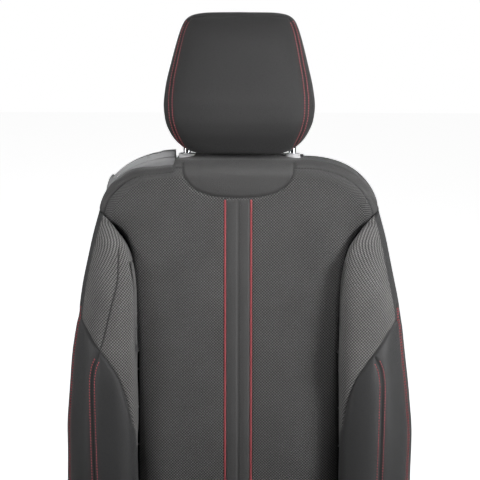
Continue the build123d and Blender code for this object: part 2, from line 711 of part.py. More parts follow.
def backrest_bolster():
    """The side bolster: its outline, cross-section and side profile, each cutting the others.

    The front stands proud of the centre panel, and the flank wraps round the side member."""
    inner = SEAM_HALF + PAD_GAP
    flank_inner = SIDE_OUTER + PAD_GAP * 2
    flank_top = BACK_TOP - SHOULDER_DROP - FLANK_DROP
    far = BACK_HALF + 5
    tip = BACK_TOP - SHOULDER_DROP + 1
    section = rounded(
        (
            (inner, PAD_BACK, 0),
            (inner, PAD_FRONT + 10, BACK_BOLSTER_ROUND),
            (inner + BACK_BOLSTER_ROUND, BACK_BOLSTER_FRONT, BACK_BOLSTER_ROUND * 0.6),
            (BACK_HALF - BACK_BOLSTER_ROUND, BACK_BOLSTER_FRONT, BACK_BOLSTER_ROUND),
            (far, PAD_FRONT, BACK_BOLSTER_ROUND),
            (far, FLANK_REAR, PAD_GAP * 3),
            (flank_inner, FLANK_REAR, 0),
            (flank_inner, PAD_BACK, 0),
        )
    )
    profile = rounded(
        (
            (BOLSTER_BOTTOM, FLANK_REAR, 0),
            (BOLSTER_BOTTOM, BACK_BOLSTER_FRONT, BACK_BOLSTER_ROUND),
            (BACK_TOP - SEAM_TURN + 20, BACK_BOLSTER_FRONT, 60),
            (tip, PAD_FRONT - PAD_ROUND, 8),
            (tip, PAD_BACK, 0),
            (flank_top, PAD_BACK, 0),
            (flank_top, FLANK_REAR, 0),
        )
    )
    bolster = plate(bolster_outline(), FLANK_REAR, BACK_BOLSTER_FRONT)
    bolster &= extrude(Plane.XZ.offset(-tip) * section, tip - BOLSTER_BOTTOM)
    return bolster & across(profile, inner, far)


# ---------------------------------------------------------------- backrest frame
def back_side():
    """A channel: the plate on the recliner, and flanges turned inward front and rear."""
    top = BACK_TOP - SIDE_TOP_DROP
    heel = PANEL_BOTTOM + PANEL_WALL + PAD_GAP * 2
    outline = (
        (0, 6 - SIDE_FOOT, 0),
        (heel, 6 - SIDE_FOOT, 0),
        (heel + 6, SIDE_REAR, 0),
        (top, SIDE_REAR, 20),
        (top, SIDE_FRONT, 20),
        (0, SIDE_FRONT, 0),
    )
    side = across(rounded(outline), SIDE_INNER, SIDE_OUTER)
    side += cross_rod(SIDE_FOOT, SIDE_INNER, SIDE_OUTER)
    flange_span = (FLANGE_START, top - 24)
    for low in (SIDE_REAR, SIDE_FRONT - FLANGE_WALL):
        side += block((SIDE_INNER - SIDE_FLANGE, SIDE_INNER), flange_span, (low, low + FLANGE_WALL))
    return side - cross_rod(SYNC_ROD_RADIUS + CLEAR, SIDE_INNER, SIDE_OUTER)


def recliner_moving():
    disc = cross_rod(RECLINER_RADIUS, SIDE_OUTER, MOVING_OUTER)
    disc += cross_rod(RECLINER_BOSS, MOVING_OUTER, FIXED_INNER + RECLINER_BOSS_DEPTH - CLEAR)
    return disc - cross_rod(SYNC_ROD_RADIUS + CLEAR, SIDE_OUTER, BASE_INNER)


def box_beam(low_v, height, w, depth):
    """A hollow rectangular beam between the side members."""
    beam = block((-SIDE_INNER, SIDE_INNER), (low_v, low_v + height), (w - depth, w))
    hollow_v = (low_v + CROSS_WALL, low_v + height - CROSS_WALL)
    return beam - block((-SIDE_INNER, SIDE_INNER), hollow_v, (w - depth + CROSS_WALL, w - CROSS_WALL))


def back_upper_cross():
    return box_beam(
        BACK_TOP - UPPER_CROSS_DROP, UPPER_CROSS_HEIGHT, POST_W - GUIDE_HALF, UPPER_CROSS_DEPTH
    )


def back_lower_cross():
    rear = SIDE_REAR + FLANGE_WALL
    return box_beam(LOWER_CROSS_V - LOWER_CROSS_HEIGHT / 2, LOWER_CROSS_HEIGHT, rear + LOWER_CROSS_DEPTH, LOWER_CROSS_DEPTH)


def back_wires():
    return Compound(
        children=[
            rod(
                (-SIDE_INNER, WIRE_FIRST + n * WIRE_PITCH, WIRE_W),
                (SIDE_INNER, WIRE_FIRST + n * WIRE_PITCH, WIRE_W),
                WIRE_RADIUS,
            )
            for n in range(WIRES)
        ]
    )


def lumbar_panel():
    low = WIRE_W + WIRE_RADIUS
    middle = Pos(0, (LUMBAR_LOW + LUMBAR_HIGH) / 2)
    outline = middle * RectangleRounded(2 * LUMBAR_HALF, LUMBAR_HIGH - LUMBAR_LOW, LUMBAR_ROUND)
    return plate(outline, low, low + LUMBAR_WALL)


# ---------------------------------------------------------------- rear panel
def panel_outline():
    """The rear panel's outline: inside the padding's edge, narrower between the base members."""
    spread = BACK_HALF - SHOULDER_HALF
    right = (
        (PANEL_WAIST, PANEL_BOTTOM, 16),
        (PANEL_WAIST, PANEL_WAIST_TOP, 40),
        (BACK_HALF - 2.5 * PANEL_INSET, PANEL_WAIST_TOP + PANEL_WAIST_BLEND, 40),
        (BACK_HALF - 2 * PANEL_INSET, BACK_TOP - 300, 200),
        (SHOULDER_HALF + 0.42 * spread - PANEL_INSET, BACK_TOP - SHOULDER_DROP - 85, 200),
        (SHOULDER_HALF - 3.2 * PANEL_INSET, BACK_TOP - PANEL_INSET, SHOULDER_DROP * 0.9),
    )
    left = tuple((-u, v, radius) for u, v, radius in reversed(right))
    return rounded(right + left)


def back_panel():
    """The moulded shell that closes the backrest behind."""
    front = FLANK_REAR - TRIM_GAP
    outline = panel_outline()
    shell = plate(outline, PANEL_REAR, front)
    shell = round_face_edges(shell, PANEL_REAR, PANEL_ROUND)
    inside = plate(offset(outline, -PANEL_WALL), PANEL_REAR + PANEL_WALL, front)
    inside = round_face_edges(inside, PANEL_REAR + PANEL_WALL, PANEL_ROUND - PANEL_WALL)
    return shell - inside


# ---------------------------------------------------------------- head restraint
def guide_tube():
    """A square tube on the upper beam that holds one guide sleeve."""
    high = BACK_TOP - GUIDE_TOP_DROP
    spans = ((POST_HALF - GUIDE_HALF, POST_HALF + GUIDE_HALF), (high - GUIDE_LENGTH, high))
    tube = block(*spans, (POST_W - GUIDE_HALF, POST_W + GUIDE_HALF))
    return tube - rod(
        (POST_HALF, high - GUIDE_LENGTH, POST_W), (POST_HALF, high, POST_W), SLEEVE_RADIUS + HOLE_EASE
    )


def guide_sleeve():
    """The moulded sleeve that a post slides in, with its collar on the shoulder."""
    sleeve = rod(
        (POST_HALF, BACK_TOP - SLEEVE_LENGTH, POST_W), (POST_HALF, BACK_TOP, POST_W), SLEEVE_RADIUS
    )
    collar = rod((POST_HALF, BACK_TOP, POST_W), (POST_HALF, BACK_TOP + COLLAR_HEIGHT, POST_W), COLLAR_RADIUS)
    collar = round_face_edges(collar, BACK_TOP + COLLAR_HEIGHT, COLLAR_HEIGHT * 0.3, Axis.Y)
    bore = rod(
        (POST_HALF, BACK_TOP - SLEEVE_LENGTH, POST_W),
        (POST_HALF, BACK_TOP + COLLAR_HEIGHT, POST_W),
        POST_RADIUS + RUNNING,
    )
    return sleeve + collar - bore


def button_block(ease, inner, outer):
    """The push button's shape in the inboard collar; ease grows it into its pocket."""
    middle = BACK_TOP + COLLAR_HEIGHT / 2
    return block(
        (POST_HALF + inner, POST_HALF + outer),
        (middle - BUTTON_HEIGHT / 2 - ease, middle + BUTTON_HEIGHT / 2 + ease),
        (POST_W - BUTTON_HALF - ease, POST_W + BUTTON_HALF + ease),
    )


def inboard_sleeve():
    pocket = button_block(CLEAR, BUTTON_INNER - BUTTON_TRAVEL - CLEAR, COLLAR_RADIUS + 1)
    return guide_sleeve() - pocket


def headrest_button():
    button = button_block(0, BUTTON_INNER, BUTTON_OUTER)
    return round_face_edges(button, POST_HALF + BUTTON_OUTER, BUTTON_HEIGHT * 0.25, Axis.X)


def headrest_post():
    start = BACK_TOP - POST_BELOW
    end = HEADREST_LOW + POST_ABOVE
    return rod((POST_HALF, start, POST_W), (POST_HALF, end, POST_W), POST_RADIUS)


def notched_post():
    """The inboard post, with the notches that the button's catch drops into."""
    post = headrest_post()
    for n in range(NOTCHES):
        v = BACK_TOP - n * NOTCH_PITCH - NOTCH_PITCH / 2
        notch_u = (POST_HALF + POST_RADIUS - NOTCH_DEPTH, POST_HALF + POST_RADIUS + 1)
        post -= block(notch_u, (v - NOTCH_DEPTH, v + NOTCH_DEPTH), (POST_W - POST_RADIUS, POST_W + POST_RADIUS))
    return post


def core_block(grow=0.0):
    spans = (-CORE_HALF - grow, CORE_HALF + grow), (HEADREST_LOW + CORE_LOW - grow, HEADREST_LOW + CORE_HIGH + grow)
    depth = (POST_W - CORE_HALF_DEPTH - grow, POST_W + CORE_HALF_DEPTH + grow)
    return block(*spans, depth)


def post_bores(grow):
    """Both posts as cutters, from under the pad to their tops."""
    top = HEADREST_LOW + POST_ABOVE
    return [
        rod((side * POST_HALF, BACK_TOP, POST_W), (side * POST_HALF, top, POST_W), POST_RADIUS + grow)
        for side in (-1, 1)
    ]


def headrest_armature():
    """The flat bar welded between the posts' tops, inside the core."""
    top = HEADREST_LOW + POST_ABOVE
    half_wall = ARMATURE_WALL / 2
    bar = block(
        (-POST_HALF, POST_HALF), (top - ARMATURE_HEIGHT, top), (POST_W - half_wall, POST_W + half_wall)
    )
    return bar - post_bores(0)[0] - post_bores(0)[1]


def headrest_core():
    """The moulded core round the posts; they and the bar between them fill its bores."""
    core = core_block()
    for post in post_bores(0):
        core -= post
    top = HEADREST_LOW + POST_ABOVE
    half_wall = ARMATURE_WALL / 2
    return core - block(
        (-POST_HALF, POST_HALF), (top - ARMATURE_HEIGHT, top), (POST_W - half_wall, POST_W + half_wall)
    )


def headrest_pad():
    """The cushion round the core: tapered above and below its widest line."""
    wide = HEADREST_LOW + HEADREST_WIDE_V
    top = HEADREST_LOW + HEADREST_HEIGHT
    right = (
        (HEADREST_BOTTOM_HALF, HEADREST_LOW, 26),
        (HEADREST_WIDE_HALF, wide, 44),
        (HEADREST_TOP_HALF, top, 32),
    )
    left = tuple((-u, v, radius) for u, v, radius in reversed(right))
    pad = plate(rounded(right + left), HEADREST_BACK, HEADREST_FRONT)
    pad = round_face_edges(pad, HEADREST_FRONT, HEADREST_ROUND)
    pad = round_face_edges(pad, HEADREST_BACK, HEADREST_ROUND * 0.7)
    pad -= core_block()
    for post in post_bores(CLEAR):
        pad -= post
    return pad


# ---------------------------------------------------------------- shoulder release
def shoulder_band(low, high, start, end):
    """A strip round the shoulder between two heights above the padding and two angles."""
    outer = shoulder_arc(high, end, start)
    inner = shoulder_arc(low, end, start)
    return make_face([outer, Line(outer @ 1, inner @ 1), inner, Line(inner @ 0, outer @ 0)])


def release_pin_place():
    return shoulder_point(RELEASE_PIN_ANGLE, (RELEASE_LOW + RELEASE_HEIGHT) / 2)


def release_housing():
    """The fixed housing: a floor along the shoulder, the end block, and two ears for the pin."""
    floor = (RELEASE_LIFT, RELEASE_LIFT + RELEASE_BASE)
    housing = plate(shoulder_band(*floor, RELEASE_START, RELEASE_END), RELEASE_REAR, RELEASE_FRONT)
    end_block = shoulder_band(floor[1], RELEASE_HEIGHT + 1, RELEASE_START, RELEASE_SPLIT + 1)
    housing += plate(end_block, RELEASE_REAR, RELEASE_FRONT)
    ear = shoulder_band(floor[1], RELEASE_HEIGHT, RELEASE_SPLIT + 1, RELEASE_PIN_ANGLE - RELEASE_EAR)
    for low in (RELEASE_REAR, RELEASE_FRONT - RELEASE_WALL):
        housing += plate(ear, low, low + RELEASE_WALL)
    return mirror(housing - release_pin_rod(HOLE_EASE), about=Plane.YZ)


def release_pin_rod(grow):
    place = release_pin_place()
    return rod((place.X, place.Y, RELEASE_REAR), (place.X, place.Y, RELEASE_FRONT), RELEASE_PIN_RADIUS + grow)


def release_pin():
    return mirror(release_pin_rod(0), about=Plane.YZ)


def release_lever():
    """The paddle on the shoulder, with a barrel on the pin; its outer end lifts to free the backrest."""
    rear, front = (RELEASE_REAR + RELEASE_WALL + CLEAR, RELEASE_FRONT - RELEASE_WALL - CLEAR)
    place = release_pin_place()
    band = (RELEASE_LOW, RELEASE_HEIGHT)
    barrel_radius = (RELEASE_HEIGHT - RELEASE_LOW) / 2
    paddle = plate(shoulder_band(*band, RELEASE_PIN_ANGLE, RELEASE_END + 2), rear, front)
    paddle += rod((place.X, place.Y, rear), (place.X, place.Y, front), barrel_radius)
    wide_end = RELEASE_PIN_ANGLE - RELEASE_EAR - 2
    paddle += plate(shoulder_band(*band, wide_end, RELEASE_END + 2), RELEASE_REAR, RELEASE_FRONT)
    paddle -= rod((place.X, place.Y, RELEASE_REAR), (place.X, place.Y, RELEASE_FRONT), RELEASE_PIN_RADIUS + RUNNING)
    return mirror(paddle, about=Plane.YZ)


# ---------------------------------------------------------------- write the parts
def in_row(parts):
    """Carries backrest parts from (u, v, w) into the seat's own axes."""
    return {name: BACK.location * part for name, part in parts.items()}


def pair(name, part):
    return {f"{name}_{side}": shape for side, shape in both_sides(part).items()}


trims = pair("side_trim", side_trim())
trims["side_trim_outboard"] = rod_hole(trims["side_trim_outboard"])
sleeves = pair("guide_sleeve", guide_sleeve())
sleeves["guide_sleeve_inboard"] = inboard_sleeve()
posts = pair("headrest_post", headrest_post())
posts["headrest_post_inboard"] = notched_post()

NODES = {
    **pair("lower_rail", lower_rail()),
    **pair("upper_rail", upper_rail()),
    "rail_glides": rail_glides(),
    **pair("base_side", base_side()),
    "rail_bolts": rail_bolts(),
    "recliner_bolts": recliner_bolts(),
    "front_cross_tube": cross_tube(FRONT_TUBE_Y),
    "rear_cross_tube": cross_tube(REAR_TUBE_Y),
    "seat_pan": seat_pan(),
    "cushion_springs": cushion_springs(),
    **pair("recliner_fixed", recliner_fixed()),
    **trims,
    "trim_screws": trim_screws(),
    "handle_brackets": handle_brackets(),
    "slide_bar": slide_bar(),
    "slide_grip": slide_grip(),
    "sync_rod": sync_rod(),
    "recline_lever": recline_lever(),
    "cushion_center_pad": cushion_center_pad(),
    **pair("cushion_bolster", cushion_bolster()),
    **in_row(
        {
            "backrest_center_pad": backrest_center_pad(),
            **pair("backrest_bolster", backrest_bolster()),
            **pair("back_side", back_side()),
            **pair("recliner_moving", recliner_moving()),
            "back_upper_cross": back_upper_cross(),
            "back_lower_cross": back_lower_cross(),
            "back_wires": back_wires(),
            "lumbar_panel": lumbar_panel(),
            "back_panel": back_panel(),
            **pair("guide_tube", guide_tube()),
            **sleeves,
            "headrest_button": headrest_button(),
            **posts,
            "headrest_armature": headrest_armature(),
            "headrest_core": headrest_core(),
            "headrest_pad": headrest_pad(),
            "release_housing": release_housing(),
            "release_pin": release_pin(),
            "release_lever": release_lever(),
        }
    ),
}

for name, shape in NODES.items():
    export_step(shape, f"parts/{name}.step")
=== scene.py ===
import bpy
import json
import math
import numpy as np
from mathutils import Matrix, Vector
from mathutils.bvhtree import BVHTree


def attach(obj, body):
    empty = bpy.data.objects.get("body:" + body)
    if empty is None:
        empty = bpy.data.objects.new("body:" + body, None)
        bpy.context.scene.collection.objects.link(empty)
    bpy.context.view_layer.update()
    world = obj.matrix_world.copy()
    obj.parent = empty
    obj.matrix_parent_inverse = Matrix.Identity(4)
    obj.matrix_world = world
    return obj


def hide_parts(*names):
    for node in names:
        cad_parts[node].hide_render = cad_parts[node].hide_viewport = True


# Looks for the sports seat. Millimetres inside, metres in Blender.
# The backrest is drawn in its own axes: u across, v up the torso line from the hinge, w forward.

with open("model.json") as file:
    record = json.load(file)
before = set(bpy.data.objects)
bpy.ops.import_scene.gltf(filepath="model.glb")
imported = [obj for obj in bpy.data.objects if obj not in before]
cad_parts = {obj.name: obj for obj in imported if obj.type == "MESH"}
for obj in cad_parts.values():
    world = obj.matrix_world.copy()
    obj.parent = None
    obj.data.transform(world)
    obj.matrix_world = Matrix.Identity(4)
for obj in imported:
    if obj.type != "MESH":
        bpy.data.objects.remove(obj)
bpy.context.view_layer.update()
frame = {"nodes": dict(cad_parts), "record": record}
SCENE = bpy.context.scene
TILT = math.radians(15.0)
HINGE = (190.0, 220.0)


# ---- geometry helpers
def back(u, v, w):
    """Backrest axes in mm to the row frame in metres."""
    u, v, w = np.broadcast_arrays(np.asarray(u, float), np.asarray(v, float), np.asarray(w, float))
    y = HINGE[0] + v * math.sin(TILT) - w * math.cos(TILT)
    z = HINGE[1] + v * math.cos(TILT) + w * math.sin(TILT)
    return np.stack([u, y, z], -1) / 1000.0


def row(x, y, z):
    """Row frame in mm to metres."""
    x, y, z = np.broadcast_arrays(np.asarray(x, float), np.asarray(y, float), np.asarray(z, float))
    return np.stack([x, y, z], -1) / 1000.0


BACK_FRONT = Vector((0, -math.cos(TILT), math.sin(TILT)))
BACK_UP = Vector((0, math.sin(TILT), math.cos(TILT)))


def curve(xs, ys, x):
    """A smooth curve through given points, without overshoot (monotone cubic)."""
    xs, ys, x = (np.asarray(a, float) for a in (xs, ys, x))
    h = np.diff(xs)
    d = np.diff(ys) / h
    m = np.zeros_like(ys)
    m[0], m[-1] = d[0], d[-1]
    inner = d[:-1] * d[1:] > 0
    w1, w2 = 2 * h[1:] + h[:-1], h[1:] + 2 * h[:-1]
    with np.errstate(divide="ignore", invalid="ignore"):
        harmonic = (w1 + w2) / (w1 / d[:-1] + w2 / d[1:])
    m[1:-1] = np.where(inner, harmonic, 0.0)
    i = np.clip(np.searchsorted(xs, x) - 1, 0, len(h) - 1)
    t = np.clip((x - xs[i]) / h[i], 0, 1)
    a = (1 + 2 * t) * (1 - t) ** 2
    b = t * (1 - t) ** 2
    c = t * t * (3 - 2 * t)
    e = t * t * (t - 1)
    return a * ys[i] + b * h[i] * m[i] + c * ys[i + 1] + e * h[i] * m[i + 1]


def step(x, low, high):
    t = np.clip((np.asarray(x, float) - low) / (high - low), 0, 1)
    return t * t * (3 - 2 * t)


def resample(points, count):
    """Points of a polyline (n, k) spaced evenly along it."""
    points = np.asarray(points, float)
    far = run_length(points)
    want = np.linspace(0, far[-1], count)
    return np.stack([np.interp(want, far, points[:, k]) for k in range(points.shape[1])], -1), far[-1]


def make_mesh(name, verts, faces, material, uv=None, attributes=None, smooth=True):
    mesh = bpy.data.meshes.new(name)
    mesh.from_pydata([tuple(p) for p in verts], [], [tuple(f) for f in faces])
    mesh.update()
    if smooth:
        mesh.polygons.foreach_set("use_smooth", [True] * len(mesh.polygons))
    if uv is not None:
        layer = mesh.uv_layers.new(name="UVMap")
        loops = np.zeros(len(mesh.loops), np.int64)
        mesh.loops.foreach_get("vertex_index", loops)
        layer.data.foreach_set("uv", np.asarray(uv, np.float32)[loops].ravel())
    for key, values in (attributes or {}).items():
        layer = mesh.attributes.new(key, "FLOAT", "POINT")
        layer.data.foreach_set("value", np.asarray(values, np.float32).ravel())
    mesh.materials.append(material)
    obj = bpy.data.objects.new(name, mesh)
    SCENE.collection.objects.link(obj)
    return obj


def grid_faces(rows, cols, wrap=False, flip=False, start=0):
    r = np.arange(rows - 1)[:, None]
    c = np.arange(cols if wrap else cols - 1)[None, :]
    a = r * cols + c
    b = r * cols + (c + 1) % cols
    quads = np.stack([a, b, b + cols, a + cols], -1).reshape(-1, 4) + start
    return quads[:, ::-1] if flip else quads


def normals_of(grid, wrap=False):
    """Unit normals of an (rows, cols, 3) grid, from its own differences."""
    du = np.gradient(grid, axis=1)
    if wrap:
        du = (np.roll(grid, -1, 1) - np.roll(grid, 1, 1)) / 2
    dv = np.gradient(grid, axis=0)
    n = np.cross(du, dv)
    size = np.linalg.norm(n, axis=-1, keepdims=True)
    return n / np.maximum(size, 1e-12)


def facing(grid, at, way, wrap=False):
    """Normals of a grid, turned so that the one at the given place points the given way."""
    n = normals_of(grid, wrap=wrap)
    return -n if n[at] @ np.array(way) < 0 else n


def sunk(flat, n, cut):
    """The points moved inward along their normals by cut, in mm."""
    return flat - n.reshape(-1, 3) * (cut / 1000.0)[:, None]


def run_length(line):
    return np.concatenate([[0], np.cumsum(np.linalg.norm(np.diff(line, axis=0), axis=1))])


def distance_to(points, line):
    """Distance in mm from each point (n, 3) to a dense polyline (m, 3), both in metres."""
    best = np.full(len(points), 1e9)
    for k in range(0, len(points), 4000):
        part = points[k : k + 4000]
        gap = ((part[:, None, :] - line[None, :, :]) ** 2).sum(-1)
        best[k : k + 4000] = np.sqrt(gap.min(1))
    return best * 1000.0


def tree_of(verts, faces):
    return BVHTree.FromPolygons([tuple(p) for p in verts], [tuple(f) for f in faces])


def drop_on(tree, starts, direction):
    """Where rays from the starts meet a surface, as (points, normals)."""
    found, normals = [], []
    for s in starts:
        hit, normal, _, _ = tree.ray_cast(Vector(s), Vector(direction))
        if hit is not None:
            if normal.dot(Vector(direction)) > 0:
                normal = -normal
            found.append(tuple(hit))
            normals.append(tuple(normal))
    return np.array(found), np.array(normals)


def on_back(tree, u, v):
    """Points of a surface in front of (u, v) on the backrest."""
    starts = back(u, v, 400.0)
    return drop_on(tree, starts, -BACK_FRONT)


def smooth_line(points, times=2):
    points = np.array(points, float)
    for _ in range(times):
        points[1:-1] = 0.25 * points[:-2] + 0.5 * points[1:-1] + 0.25 * points[2:]
    return points


def tube(name, line, radius, material, sides=10, lift=None):
    """A round cord along a dense line in metres; radius in mm."""
    line = np.asarray(line, float)
    tangent = np.gradient(line, axis=0)
    tangent /= np.linalg.norm(tangent, axis=1, keepdims=True)
    ref = np.array([0.0, -1.0, 0.35]) if lift is None else np.asarray(lift, float)
    side = np.cross(tangent, np.broadcast_to(ref, tangent.shape))
    side /= np.linalg.norm(side, axis=1, keepdims=True)
    up = np.cross(side, tangent)
    turn = np.linspace(0, 2 * math.pi, sides, endpoint=False)
    ring = side[:, None, :] * np.cos(turn)[None, :, None] + up[:, None, :] * np.sin(turn)[None, :, None]
    verts = (line[:, None, :] + ring * radius / 1000.0).reshape(-1, 3)
    faces = [tuple(f) for f in grid_faces(len(line), sides, wrap=True)]
    faces.append(tuple(range(sides))[::-1])
    faces.append(tuple(len(verts) - sides + k for k in range(sides)))
    far = run_length(line)
    uv = np.stack(np.broadcast_arrays(turn[None, :] * radius / 1000.0, far[:, None]), -1).reshape(-1, 2)
    return make_mesh(name, verts, faces, material, uv=uv)


def stitch_mesh(name, runs, material, pitch=4.5, length=3.4, radius=0.74, sink=0.12):
    """Thread: one flattened capsule per stitch along each run of (points, normals)."""
    lat = np.linspace(-1, 1, 7)
    turn = np.linspace(0, 2 * math.pi, 8, endpoint=False)
    verts, faces, uvs = [], [], []
    for points, normals in runs:
        far = run_length(points) * 1000
        count = int((far[-1] - length) // pitch)
        for n in range(max(count, 0)):
            at = length / 2 + n * pitch
            mid = np.array([np.interp(at, far, points[:, k]) for k in range(3)])
            fore = np.array([np.interp(at + 1, far, points[:, k]) for k in range(3)])
            aft = np.array([np.interp(at - 1, far, points[:, k]) for k in range(3)])
            normal = np.array([np.interp(at, far, normals[:, k]) for k in range(3)])
            normal /= np.linalg.norm(normal)
            along = fore - aft
            along /= np.linalg.norm(along)
            across = np.cross(normal, along)
            across /= np.linalg.norm(across)
            along = along + across * 0.10
            along /= np.linalg.norm(along)
            normal = np.cross(along, across)
            half = length / 2
            base = len(verts)
            for s in lat:
                r = radius * math.sqrt(max(1 - abs(s) ** 3.2, 0.02))
                arch = (1 - s * s) * radius * 0.7
                centre = mid + (along * s * half + normal * (arch - sink - radius * 0.25)) / 1000.0
                for a in turn:
                    offset = across * math.cos(a) * r * 1.15 + normal * math.sin(a) * r
                    verts.append(centre + offset / 1000.0)
                    uvs.append((a * r / 1000.0, (at + s * half) / 1000.0))
            faces += [tuple(f) for f in grid_faces(7, 8, wrap=True, start=base)]
            faces.append(tuple(base + k for k in range(8))[::-1])
            faces.append(tuple(base + 48 + k for k in range(8)))
    return make_mesh(name, verts, faces, material, uv=uvs)


def shifted_runs(tree, points, normals, shifts):
    """Rows beside a seam: each shift in mm sideways on the surface, as (points, normals)."""
    tangent = np.gradient(points, axis=0)
    tangent /= np.linalg.norm(tangent, axis=1, keepdims=True)
    side = np.cross(normals, tangent)
    side /= np.linalg.norm(side, axis=1, keepdims=True)
    runs = []
    for shift in shifts:
        moved, turned = [], []
        for p in points + side * shift / 1000.0:
            hit, normal, _, _ = tree.find_nearest(Vector(p))
            moved.append(tuple(hit))
            turned.append(tuple(normal))
        turned = np.array(turned)
        flip = np.sign((turned * normals).sum(1, keepdims=True))
        runs.append((smooth_line(moved, 3), smooth_line(turned * flip, 3)))
    return runs


def ripple(points, size, seed):
    """Soft unevenness over a surface, about -1 to 1; size is its wavelength in metres."""
    dice = np.random.default_rng(seed)
    total = np.zeros(len(points))
    for _ in range(9):
        way = dice.normal(size=3)
        way /= np.linalg.norm(way)
        total += np.sin(points @ way * 2 * math.pi / (size * dice.uniform(0.7, 1.6)) + dice.uniform(0, 6.28))
    return total / 4.0


def pucker(points, distance, seed, depth=0.35, reach=9.0):
    """The gathers that stitching leaves beside a seam, in mm."""
    return depth * ripple(points, 0.013, seed) * np.exp(-((distance / reach) ** 1.5))


def valley(distance, depth, width, pull=0.0, reach=12.0):
    """How far the cover is drawn in beside a seam, in mm."""
    return depth * np.exp(-((distance / width) ** 2)) + pull * np.exp(-((distance / reach) ** 1.5))


# ---- materials
class Nodes:
    """Short calls for building one material's node tree."""

    def __init__(self, name):
        self.mat = bpy.data.materials.new(name)
        self.mat.use_nodes = True
        self.tree = self.mat.node_tree
        self.tree.nodes.clear()
        self.out = self.tree.nodes.new("ShaderNodeOutputMaterial")
        self.bsdf = self.tree.nodes.new("ShaderNodeBsdfPrincipled")
        self.tree.links.new(self.bsdf.outputs[0], self.out.inputs[0])

    def put(self, socket, value):
        if isinstance(value, bpy.types.NodeSocket):
            self.tree.links.new(value, socket)
        elif hasattr(value, "__len__") and len(value) == 3 and socket.type == "RGBA":
            socket.default_value = (*value, 1.0)
        else:
            socket.default_value = value

    def node(self, kind, inputs=None, **settings):
        made = self.tree.nodes.new(kind)
        for key, value in settings.items():
            setattr(made, key, value)
        for key, value in (inputs or {}).items():
            self.put(made.inputs[key], value)
        return made

    def math(self, how, a, b=0.0, c=0.0):
        made = self.node("ShaderNodeMath", operation=how)
        self.put(made.inputs[0], a)
        self.put(made.inputs[1], b)
        self.put(made.inputs[2], c)
        return made.outputs[0]

    def mix(self, factor, a, b):
        made = self.node("ShaderNodeMix", data_type="RGBA")
        self.put(made.inputs[0], factor)
        self.put(made.inputs[6], a)
        self.put(made.inputs[7], b)
        return made.outputs[2]

    def blend(self, factor, a, b):
        made = self.node("ShaderNodeMix", data_type="FLOAT")
        self.put(made.inputs[0], factor)
        self.put(made.inputs[2], a)
        self.put(made.inputs[3], b)
        return made.outputs[0]

    def ramp(self, value, low, high):
        made = self.node("ShaderNodeMapRange", {"Value": value, "From Min": low, "From Max": high})
        made.interpolation_type = "SMOOTHSTEP"
        return made.outputs[0]

    def uv(self):
        return self.node("ShaderNodeUVMap", uv_map="UVMap").outputs[0]

    def coords(self):
        return self.node("ShaderNodeTexCoord").outputs["Object"]

    def noise(self, vector, scale, detail=2.0, rough=0.5, out=0):
        made = self.node("ShaderNodeTexNoise", {"Vector": vector, "Scale": scale, "Detail": detail})
        made.inputs["Roughness"].default_value = rough
        return made.outputs[out]

    def cells(self, vector, scale, feature="F1", random=1.0):
        made = self.node("ShaderNodeTexVoronoi", {"Vector": vector, "Scale": scale}, feature=feature)
        made.inputs["Randomness"].default_value = random
        return made.outputs["Distance"]

    def bump(self, height, distance, strength=1.0, normal=None):
        made = self.node("ShaderNodeBump", {"Height": height, "Distance": distance, "Strength": strength})
        if normal is not None:
            self.put(made.inputs["Normal"], normal)
        return made.outputs[0]

    def finish(self, color, rough, normal=None, metal=0.0, **fixed):
        self.put(self.bsdf.inputs["Base Color"], color)
        self.put(self.bsdf.inputs["Roughness"], rough)
        self.bsdf.inputs["Metallic"].default_value = metal
        if normal is not None:
            self.put(self.bsdf.inputs["Normal"], normal)
        for key, value in fixed.items():
            self.bsdf.inputs[key.replace("_", " ")].default_value = value
        return self.mat


def leather_parts(n, vector, tone):
    """Grained smooth leather: colour, roughness and height."""
    pebble = n.cells(vector, 620.0)
    fine = n.noise(vector, 1500.0, 2.0)
    broad = n.noise(vector, 9.0, 3.0)
    crease = n.cells(vector, 620.0, "DISTANCE_TO_EDGE")
    edge = n.ramp(crease, 0.0, 0.12)
    shade = n.math("MULTIPLY_ADD", broad, 0.35, 0.82)
    shade = n.math("MULTIPLY", shade, n.blend(edge, 0.80, 1.0))
    color = n.mix(n.math("MULTIPLY", shade, 0.5), [0.0, 0.0, 0.0], [2 * c for c in tone])
    rough = n.math("MULTIPLY_ADD", broad, 0.12, 0.40)
    rough = n.math("ADD", rough, n.blend(edge, 0.14, 0.0))
    height = n.math("MULTIPLY_ADD", n.math("SUBTRACT", 1.0, pebble), 0.5, n.math("MULTIPLY", edge, 0.6))
    height = n.math("MULTIPLY_ADD", fine, 0.12, height)
    return color, rough, height


